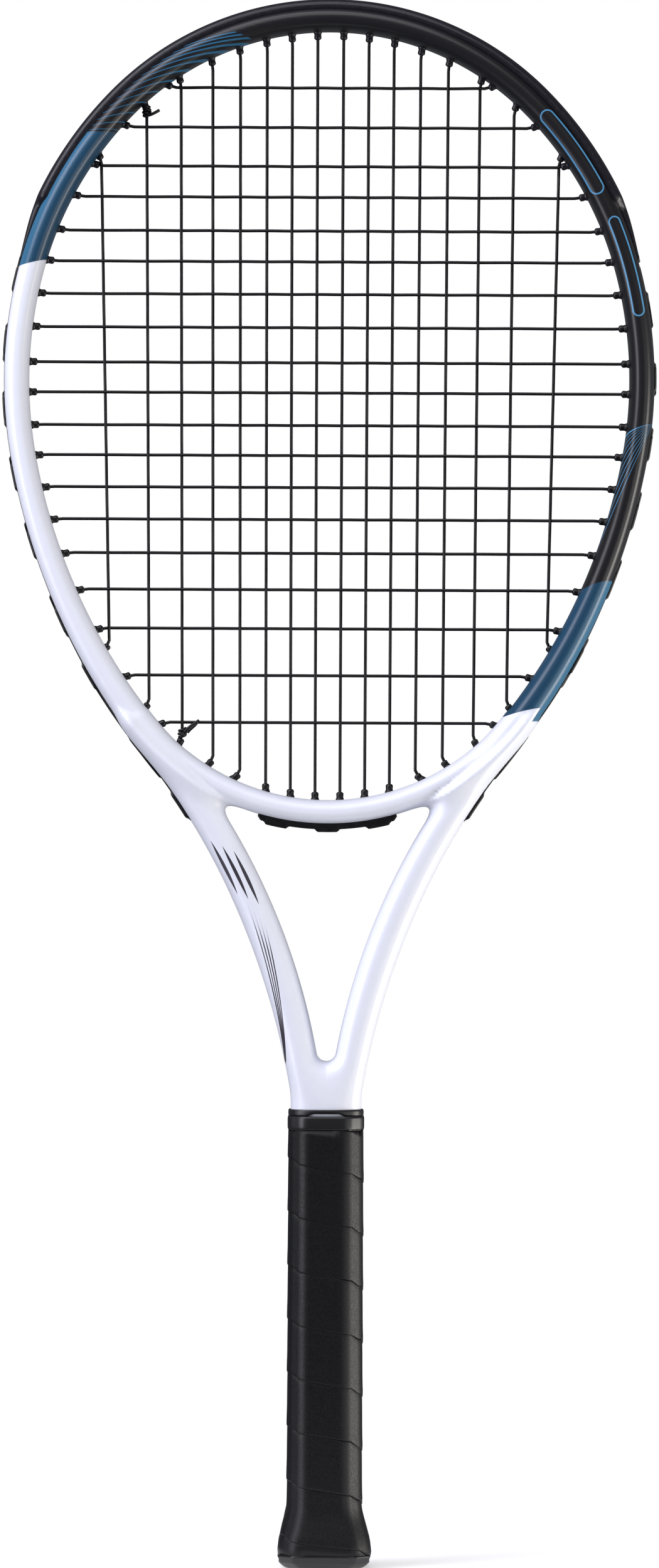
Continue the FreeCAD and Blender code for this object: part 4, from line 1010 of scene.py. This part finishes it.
def make_grip():
    """One ribbon wound up the handle, each turn lapping over the one below."""
    count = len(SAMPLES)
    # Wound from +X round the front, so that the front seams fall to the right.
    first, turns = -0.15, 9.05
    stations = int(turns * count)
    rows = []
    rings = {}

    def ring_at(width, inset):
        key = (round(width, 2), round(inset, 2))
        if key not in rings:
            rings[key] = octagon_ring(key[0] - 0.6, 7.2, BEVEL + 0.6, -key[1])
        return rings[key]

    for station in range(stations + 1):
        slot = station % count
        turn = first + station / count
        base = SEAM_AT_LEFT + 1.4 - 8 * PITCH + (turn - 0.5) * PITCH
        ridge = 26.0 + (turn % 1.0 - 0.5) * 15.0
        row = []
        for share, lift in RIBBON:
            z = base + share * PITCH + seam_wobble(turn * 2 * math.pi) * (1.0 if share < 0.3 else 0.3)
            held = min(max(z, GRIP_BOTTOM), GRIP_TOP)
            if held != z:
                lift = min(lift, 0.0)
            if turn % 1.0 < 0.6:
                lift += 0.3 * math.exp(-((z - ridge) / 1.5) ** 2)
            x, y = ring_at(butt_width(held), lift)[slot]
            row.append((x, -y, held))
        for share in (1.03, 0.7, 0.35, 0.0):
            z = base + share * PITCH
            held = min(max(z, GRIP_BOTTOM), GRIP_TOP)
            x, y = ring_at(butt_width(held), -1.3)[slot]
            row.append((x, -y, held))
        rows.append(row)
    thing = new_mesh("grip_ribbon", np.array(rows).reshape(-1, 3), capped_grid(len(rows), len(rows[0])))
    facing_out(thing, merge=2e-6)
    thing.data.shade_smooth()
    return thing


COLLAR_LOW = 193.75
COLLAR_BAND_TOP = 199.62
COLLAR_TOP = 202.5
COLLAR_BORE = (16.05, 12.45)
COLLAR_LIP = (16.6, 13.05)


def squarish(angle, power, half_x, half_y):
    """A point at an angle on a squared ellipse."""
    c, s = math.cos(angle), math.sin(angle)
    return math.copysign(abs(c) ** power, c) * half_x, math.copysign(abs(s) ** power, s) * half_y


def make_collar():
    """Rubber collar: soft band on the grip, lip round the shaft, slot front and back."""
    band = []
    for z, inset in ((COLLAR_LOW, 1.9), (193.7, 0.7), (193.8, 0.25), (194.2, 0.02), (195.0, -0.05),
                     (198.6, -0.05), (199.15, 0.05), (199.45, 0.35), (199.6, 0.9),
                     (COLLAR_BAND_TOP, 1.4)):
        band.append(octagon_level(z, 33.7, 6.2, BEVEL + 0.3, inset))
    angles = [math.atan2(y / 12.3, x / 15.9) for x, y, _ in band[0]]
    band += [[(*squarish(angle, 0.8, *COLLAR_BORE), z) for angle in angles]
             for z in (COLLAR_BAND_TOP, COLLAR_LOW)]
    lip = []
    count = 120
    levels = ((0.0, 0.25), (0.12, 0.02), (0.35, -0.06), (0.7, -0.05), (0.9, 0.05), (1.0, 0.3),
              (1.0, 0.5), (0.0, 0.52))
    for share, inset in levels:
        ring = []
        for n in range(count):
            x, y = squarish(2 * math.pi * n / count, 0.78, *(half - inset for half in COLLAR_LIP))
            rise = 1.15 * (1.0 - smooth_step(5.5, 9.0, abs(x)))
            low = 199.5 + (rise if abs(y) > 9 else 0.0)
            ring.append((x, y, low + (COLLAR_TOP - low) * share))
        lip.append(ring)
    parts = [(np.vstack(rings), grid_faces(len(rings), len(rings[0]), wrap=True, close=True))
             for rings in (band, lip)]
    return piece("rubber_collar", parts)


# ----------------------------------------------------------------- materials

class Nodes:
    """Short names for the nodes of one material."""

    def __init__(self, name):
        self.material = bpy.data.materials.new(name)
        self.material.use_nodes = True
        self.tree = self.material.node_tree
        self.shader = self.tree.nodes["Principled BSDF"]

    def add(self, kind, **settings):
        node = self.tree.nodes.new(kind)
        for key, value in settings.items():
            setattr(node, key, value)
        return node

    def put(self, socket, value):
        if hasattr(value, "is_output"):
            self.tree.links.new(value, socket)
        elif isinstance(value, (tuple, list)) and len(value) == 3 and socket.type == "RGBA":
            socket.default_value = (*value, 1.0)
        else:
            socket.default_value = value

    def math(self, operation, a, b=0.0, c=0.0):
        node = self.add("ShaderNodeMath", operation=operation)
        for socket, value in zip(node.inputs, (a, b, c)):
            self.put(socket, value)
        return node.outputs[0]

    def plus(self, a, b):
        return self.math("ADD", a, b)

    def minus(self, a, b):
        return self.math("SUBTRACT", a, b)

    def times(self, a, b):
        return self.math("MULTIPLY", a, b)

    def over(self, a, b):
        return self.math("DIVIDE", a, b)

    def most(self, a, b):
        return self.math("MAXIMUM", a, b)

    def absolute(self, a):
        return self.math("ABSOLUTE", a)

    def held(self, a, low, high):
        """A value kept between two others."""
        return self.math("MINIMUM", self.most(a, low), high)

    def step(self, x, a, b, low=0.0, high=1.0):
        """Smoothly from low at a to high at b."""
        node = self.add("ShaderNodeMapRange", interpolation_type="SMOOTHSTEP")
        if isinstance(a, (int, float)) and isinstance(b, (int, float)) and a > b:
            a, b, low, high = b, a, high, low
        for index, value in ((0, x), (1, a), (2, b), (3, low), (4, high)):
            self.put(node.inputs[index], value)
        return node.outputs[0]

    def mix(self, share, a, b):
        node = self.add("ShaderNodeMix", data_type="RGBA")
        self.put(node.inputs[0], share)
        self.put(node.inputs[6], a)
        self.put(node.inputs[7], b)
        return node.outputs[2]

    def place(self):
        """Object position in mm as three outputs."""
        split = self.add("ShaderNodeSeparateXYZ")
        scale = self.add("ShaderNodeVectorMath", operation="SCALE")
        coordinates = self.add("ShaderNodeTexCoord")
        self.put(scale.inputs[0], coordinates.outputs["Object"])
        scale.inputs[3].default_value = 1000.0
        self.put(split.inputs[0], scale.outputs[0])
        self.position = scale.outputs[0]
        return split.outputs

    def noise(self, scale, detail=2.0):
        """Noise in [0, 1]; scale is in features per mm."""
        node = self.add("ShaderNodeTexNoise")
        self.put(node.inputs["Vector"], self.position)
        node.inputs["Scale"].default_value = scale
        node.inputs["Detail"].default_value = detail
        return node.outputs[0]

    def cells(self, scale):
        node = self.add("ShaderNodeTexVoronoi", feature="DISTANCE_TO_EDGE")
        self.put(node.inputs["Vector"], self.position)
        node.inputs["Scale"].default_value = scale
        return node.outputs[0]

    def value(self, name):
        return self.add("ShaderNodeAttribute", attribute_name=name).outputs["Fac"]

    def bump(self, height, strength, distance=0.0002):
        node = self.add("ShaderNodeBump")
        node.inputs["Strength"].default_value = strength
        node.inputs["Distance"].default_value = distance
        self.put(node.inputs["Height"], height)
        self.put(self.shader.inputs["Normal"], node.outputs[0])

    def set(self, **values):
        for key, value in values.items():
            self.put(self.shader.inputs[key.replace("_", " ")], value)


def rgb(red, green, blue):
    """A colour seen on screen, 0 to 255, as linear light."""
    out = []
    for part in (red, green, blue):
        part /= 255.0
        out.append(part / 12.92 if part <= 0.04045 else ((part + 0.055) / 1.055) ** 2.4)
    return tuple(out)


def along_at(z):
    """Length along the outside of the tube, from the crown, at a height on it."""
    points, _, lengths = walk(OUTSIDE, 1.0)
    return float(np.interp(z, points[::-1, 1], lengths[::-1]))


def speckled(nodes, colour, amount=0.12, scale=0.6):
    """A colour with a fine, uneven grain so that it never reads as flat."""
    darker = tuple(c * (1 - amount) for c in colour)
    lighter = tuple(min(1.0, c * (1 + amount)) for c in colour)
    return nodes.mix(nodes.noise(scale, 3.0), darker, lighter)


def nylon(name, colour, roughness):
    nodes = Nodes(name)
    nodes.place()
    nodes.set(Base_Color=speckled(nodes, colour, 0.15, 0.35),
              Roughness=nodes.step(nodes.noise(0.5), 0.3, 0.7, roughness - 0.05, roughness + 0.07),
              Specular_IOR_Level=0.35)
    nodes.bump(nodes.noise(2.2, 2.0), 0.12)
    return nodes.material


def plain(name, colour, mottle, grain, roughness, bumps, strength, **more):
    """An even material: mottled colour, and bumps of a scale and detail."""
    nodes = Nodes(name)
    nodes.place()
    nodes.set(Base_Color=speckled(nodes, colour, mottle, grain), Roughness=roughness, **more)
    nodes.bump(nodes.noise(*bumps), strength)
    return nodes.material


def hidden(name, colour, roughness, metallic, grain):
    return plain(name, colour, 0.2, grain, roughness, (grain * 3, 3.0), 0.2, Metallic=metallic)


def grip_material():
    nodes = Nodes("grip_leatherette")
    nodes.place()
    grain = nodes.noise(1.4, 4.0)
    pores = nodes.step(nodes.cells(0.9), 0.0, 0.14)
    nodes.set(Base_Color=speckled(nodes, rgb(9, 9, 13), 0.22, 0.5),
              Roughness=nodes.step(grain, 0.3, 0.7, 0.38, 0.5), Specular_IOR_Level=0.26)
    nodes.bump(nodes.plus(nodes.times(grain, 0.6), nodes.times(pores, 0.25)), 0.22)
    return nodes.material


WHITE = rgb(226, 229, 240)
BLUE = rgb(13, 60, 88)
# Paler blue for the tube's outer edge: a painted highlight where lamps catch that edge.
EDGE_HIGHLIGHT_BLUE = rgb(48, 104, 138)
STRIPE_BLUE = rgb(30, 96, 134)
LINE_BLUE = rgb(74, 138, 182)
BLACK = rgb(6, 6, 13)
GRAPHITE = rgb(52, 48, 58)


def decor_line(nodes, distance, half_width):
    """1 within half a width of a line, with a fine soft edge."""
    return nodes.step(distance, nodes.plus(half_width, 0.07), nodes.minus(half_width, 0.07))


def sweep_stripes(nodes, run, inward):
    """Stripes of the left shoulder: they leave the outer edge and lie down along the tube."""
    start, length, growth = along_at(633.0), 9.0, 1.2
    origin = nodes.over(nodes.plus(run, nodes.times(inward, length + growth * start)),
                        nodes.plus(nodes.times(inward, growth), 1.0))
    travel = nodes.most(nodes.over(nodes.minus(start, origin), 50.0), 0.0001)
    phase = nodes.times(nodes.math("POWER", travel, 0.75), 12.5)
    saw = nodes.absolute(nodes.minus(nodes.math("FRACT", phase), 0.5))
    share = nodes.step(run, start - 22.0, 46.0, 0.05, 0.2)
    stripe = nodes.step(saw, nodes.plus(share, 0.03), nodes.minus(share, 0.03))
    near = nodes.step(travel, 1.04, 1.02)
    ends = nodes.step(nodes.plus(run, nodes.times(inward, 14.0)), 50.6, 51.4)
    return nodes.times(nodes.times(stripe, near), ends)


def fan_lines(nodes, run, inward):
    """Right side: one broad curve and a fan of fine ones from a point on the outer edge."""
    past = nodes.most(nodes.minus(run, along_at(505.5)), 0.001)
    bent = nodes.minus(1.0, nodes.math("SQRT", nodes.most(nodes.minus(1.0, inward), 0.0)))
    reach = nodes.over(past, nodes.most(bent, 0.001))
    phase = nodes.over(nodes.math("LOGARITHM", nodes.over(reach, 8.0), math.e), 0.26)
    saw = nodes.absolute(nodes.minus(phase, nodes.math("ROUND", phase)))
    ends = nodes.times(nodes.step(phase, 0.5, 0.6), nodes.step(phase, 8.5, 8.4))
    fine = nodes.times(nodes.step(saw, 0.1, 0.05), ends)
    broad = nodes.times(nodes.step(phase, -0.45, -0.35), nodes.step(phase, 0.2, 0.1))
    return nodes.most(fine, broad)


def slot_outline(nodes, run, edge, low, high, middle, radius):
    """A plain rounded outline drawn along the tube."""
    away = nodes.minus(run, nodes.held(run, low, high))
    across = nodes.minus(edge, middle)
    reach = nodes.math("SQRT", nodes.plus(nodes.times(away, away), nodes.times(across, across)))
    return decor_line(nodes, nodes.absolute(nodes.minus(reach, radius)), 0.34)


def arm_lines(nodes, edge, z):
    """Four dark pinstripes that run off the outer edge of the left arm."""
    share = nodes.most(nodes.over(nodes.minus(z, 221.0), 67.0), 0.001)
    scale = nodes.math("POWER", share, 0.9)
    place = nodes.over(nodes.minus(nodes.over(edge, scale), 5.1), 1.5)
    number = nodes.held(nodes.math("ROUND", place), 0.0, 3.0)
    gap = nodes.times(nodes.absolute(nodes.minus(place, number)), nodes.times(scale, 1.5))
    tip = nodes.minus(292.0, nodes.times(number, 2.6))
    width = nodes.step(z, tip, nodes.minus(tip, 16.0), 0.0, 0.24)
    inside = nodes.times(nodes.math("LESS_THAN", z, tip), nodes.step(z, 222.0, 224.0))
    return nodes.times(decor_line(nodes, gap, width), inside)


def arm_darts(nodes, edge, z):
    """Three plain tapered darts above the pinstripes."""
    place = nodes.minus(edge, 3.2)
    number = nodes.held(nodes.math("ROUND", nodes.over(place, 3.4)), 0.0, 2.0)
    low = nodes.plus(297.0, nodes.times(number, -2.2))
    share = nodes.over(nodes.minus(z, low), 24.0)
    bulge = nodes.most(nodes.times(nodes.times(share, nodes.minus(1.0, share)), 3.0), 0.0)
    gap = nodes.absolute(nodes.minus(place, nodes.times(number, 3.4)))
    return nodes.times(decor_line(nodes, gap, bulge), nodes.math("GREATER_THAN", bulge, 0.05))


def paint_material():
    """Lacquered paint: white arms, blue sweeps, black head with fine line work."""
    nodes = Nodes("frame_lacquer")
    x, _, z = nodes.place()
    across, along, edge = nodes.value("across"), nodes.value("along"), nodes.value("edge")
    left = nodes.step(along, 0.4, -0.4)
    run = nodes.absolute(along)
    inward = nodes.held(nodes.times(nodes.plus(across, 1.0), 0.5), 0.0, 1.0)
    # The blue pales toward the tube's outer edge: a painted highlight along that edge.
    blue = nodes.mix(nodes.step(across, 0.1, -1.0), BLUE, EDGE_HIGHLIGHT_BLUE)

    left_black = nodes.mix(sweep_stripes(nodes, run, inward), BLACK, STRIPE_BLUE)
    left_white = nodes.step(nodes.minus(z, nodes.times(nodes.plus(x, 127.5), 0.24)), 576.3, 575.8)
    left_colour = nodes.mix(nodes.step(z, 632.7, 633.1), blue, left_black)
    left_colour = nodes.mix(left_white, left_colour, WHITE)

    slots = nodes.most(slot_outline(nodes, run, edge, along_at(644.0), along_at(612.0), 5.6, 3.0),
                       slot_outline(nodes, run, edge, along_at(596.0), along_at(556.0), 5.0, 2.4))
    right_black = nodes.mix(slots, BLACK, LINE_BLUE)
    right_black = nodes.mix(fan_lines(nodes, run, inward), right_black, LINE_BLUE)
    below = nodes.minus(z, nodes.times(nodes.minus(x, 112.0), 0.28))
    below = nodes.minus(below, nodes.times(nodes.times(inward, nodes.minus(1.0, inward)), 5.0))
    right_colour = nodes.mix(nodes.step(below, 432.4, 431.8), right_black, blue)
    low_edge = nodes.plus(z, nodes.times(nodes.times(inward, inward), 4.0))
    low_edge = nodes.plus(low_edge, nodes.step(inward, 0.2, 0.16, 0.0, 6.0))
    right_colour = nodes.mix(nodes.step(low_edge, 380.3, 379.7), right_colour, WHITE)

    colour = nodes.mix(left, right_colour, left_colour)
    marks = nodes.most(arm_lines(nodes, edge, z), arm_darts(nodes, edge, z))
    white_part = nodes.mix(nodes.times(marks, nodes.step(x, 2.0, -2.0)), WHITE, GRAPHITE)
    colour = nodes.mix(nodes.step(z, 352.0, 350.0), colour, white_part)
    grain = nodes.mix(0.5, (1.0, 1.0, 1.0), speckled(nodes, (0.94, 0.94, 0.94), 0.05, 0.25))
    tinted = nodes.add("ShaderNodeMix", data_type="RGBA", blend_type="MULTIPLY")
    tinted.inputs[0].default_value = 1.0
    nodes.put(tinted.inputs[6], colour)
    nodes.put(tinted.inputs[7], grain)
    nodes.set(Base_Color=tinted.outputs[2], Roughness=0.42, Specular_IOR_Level=0.36,
              Coat_Weight=0.3, Coat_Roughness=0.26)
    return nodes.material


# --------------------------------------------------------------------- build

def dress(thing, material, slot, body, *nodes):
    """Give a piece its material and body, in place of its CAD nodes; slot is not used."""
    thing.data.materials.clear()
    thing.data.materials.append(material)
    if nodes:
        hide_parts(*nodes)
    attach(thing, body)


holes = sort_holes()
shell = make_frame_shell()
dress(shell, paint_material(), "frame_paint", "racket", "hairpin_frame", "throat_bridge")

guard_nylon = nylon("guard_nylon_black", rgb(22, 21, 29), 0.33)
strip_nylon = nylon("grommet_nylon_black", rgb(9, 9, 12), 0.38)
dress(make_bumper(holes["guard"]), guard_nylon, "bumper_nylon", "racket", "bumper_guard")
for side, pads, way in (("left", LEFT_PADS, -1), ("right", RIGHT_PADS, 1)):
    dress(make_side_strip(side + "_strip", way, pads, holes[side]), strip_nylon, "grommet_nylon",
          "racket", side + "_grommet_strip")
dress(make_throat_strip(holes["throat"]), strip_nylon, "grommet_nylon", "racket",
      "throat_grommet_strip")

string_black = plain("string_monofilament", rgb(8, 8, 12), 0.2, 0.9, 0.3, (1.2,), 0.06,
                     Specular_IOR_Level=0.35)
dress(make_mains(), string_black, "string", "racket", "main_strings")
dress(make_crosses(), string_black, "string", "racket", "cross_strings")
dress(make_knots(), string_black, "string", "racket", "string_knots")

dress(make_grip(), grip_material(), "grip_wrap", "racket", "base_grip")
cap_black = plain("butt_cap_plastic_black", rgb(12, 12, 16), 0.18, 0.4, 0.36, (1.8, 3.0), 0.12)
dress(make_cap(), cap_black, "butt_cap_plastic", "racket", "butt_cap")
rubber_black = plain("collar_rubber_black", rgb(10, 10, 14), 0.2, 0.4, 0.4, (1.6, 3.0), 0.1)
dress(make_collar(), rubber_black, "collar_rubber", "collar", "grip_collar")

HIDDEN = {
    "handle_pallet": hidden("pallet_foam_graphite", rgb(74, 74, 78), 0.8, 0.0, 1.2),
    "butt_cap_staples": hidden("staple_steel_wire", rgb(170, 172, 176), 0.35, 1.0, 2.0),
    "grip_start_staple": hidden("staple_steel_wire_grip", rgb(168, 170, 175), 0.35, 1.0, 2.0),
    "grip_finishing_tape": hidden("finishing_tape_black", rgb(22, 22, 26), 0.5, 0.0, 0.9),
}
for name, material in HIDDEN.items():
    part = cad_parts[name]
    part.data.materials.clear()
    part.data.materials.append(material)


# -------------------------------------------------------- floor, light, camera

def make_floor():
    mesh = bpy.data.meshes.new("floor")
    work = bmesh.new()
    bmesh.ops.create_circle(work, cap_ends=True, segments=96, radius=0.12)
    work.to_mesh(mesh)
    work.free()
    floor = bpy.data.objects.new("floor", mesh)
    bpy.context.scene.collection.objects.link(floor)
    nodes = Nodes("floor_pale")
    nodes.place()
    nodes.set(Base_Color=speckled(nodes, (0.9, 0.9, 0.91), 0.02, 0.1), Roughness=0.9,
              Emission_Color=(1.0, 1.0, 1.0, 1.0), Emission_Strength=0.42)
    mesh.materials.append(nodes.material)


def area_light(name, place, aim, width, height, watts, colour=(1.0, 1.0, 1.0)):
    data = bpy.data.lights.new(name, "AREA")
    data.shape = "RECTANGLE"
    data.size, data.size_y = width, height
    data.energy = watts
    data.color = colour
    lamp = bpy.data.objects.new(name, data)
    lamp.location = place
    heading = Vector(aim) - Vector(place)
    lamp.rotation_euler = heading.to_track_quat("-Z", "Y").to_euler()
    bpy.context.scene.collection.objects.link(lamp)


def make_world():
    """White to the camera, a softer grey room for light and reflections."""
    world = bpy.data.worlds.new("studio")
    bpy.context.scene.world = world
    world.use_nodes = True
    tree = world.node_tree
    tree.nodes.clear()
    output = tree.nodes.new("ShaderNodeOutputWorld")
    mixer = tree.nodes.new("ShaderNodeMixShader")
    path = tree.nodes.new("ShaderNodeLightPath")
    room, backdrop = tree.nodes.new("ShaderNodeBackground"), tree.nodes.new("ShaderNodeBackground")
    room.inputs[0].default_value = (0.62, 0.64, 0.70, 1.0)
    room.inputs[1].default_value = 0.24
    backdrop.inputs[0].default_value = (1.0, 1.0, 1.0, 1.0)
    tree.links.new(path.outputs["Is Camera Ray"], mixer.inputs[0])
    tree.links.new(room.outputs[0], mixer.inputs[1])
    tree.links.new(backdrop.outputs[0], mixer.inputs[2])
    tree.links.new(mixer.outputs[0], output.inputs[0])


def make_camera():
    data = bpy.data.cameras.new("photo_view")
    data.sensor_fit = "VERTICAL"
    data.sensor_height = 36.0
    data.sensor_width = 36.0 * 1050 / 2500
    distance = 3.5
    data.lens = 36.0 * distance / 0.6927
    camera = bpy.data.objects.new("photo_view", data)
    lean = math.radians(0.26)
    camera.matrix_world = (Matrix.Translation((0.0009, -distance, 0.346))
                           @ Matrix.Rotation(math.radians(90), 4, "X")
                           @ Matrix.Rotation(lean, 4, "Z"))
    bpy.context.scene.collection.objects.link(camera)
    bpy.context.scene.camera = camera


bpy.context.scene.view_settings.view_transform = "Standard"
make_floor()
make_world()
make_camera()
middle = (0.0, 0.0, 0.42)
area_light("left_soft", (-1.7, -1.2, 0.8), middle, 0.9, 1.9, 15.0, (0.94, 0.94, 1.0))
area_light("left_low", (-1.5, -0.8, 0.1), (0.0, 0.0, 0.1), 0.7, 1.2, 10.0, (0.92, 0.91, 1.0))
area_light("left_rim", (-1.25, -0.7, 1.75), (0.0, 0.0, 0.6), 1.3, 1.3, 26.0, (0.92, 0.91, 1.0))
area_light("right_low", (1.3, -1.5, -0.1), middle, 0.9, 1.6, 8.0, (1.0, 0.98, 0.95))
area_light("right_rim", (1.3, -0.1, -0.1), (0.0, 0.0, 0.5), 0.6, 1.4, 24.0, (1.0, 0.96, 0.90))
area_light("top_soft", (-0.2, -0.6, 2.2), middle, 1.6, 0.8, 12.0, (0.93, 0.92, 1.0))
area_light("front_fill", (0.1, -2.3, 2.5), middle, 2.0, 0.9, 17.0)

bpy.context.view_layer.update()
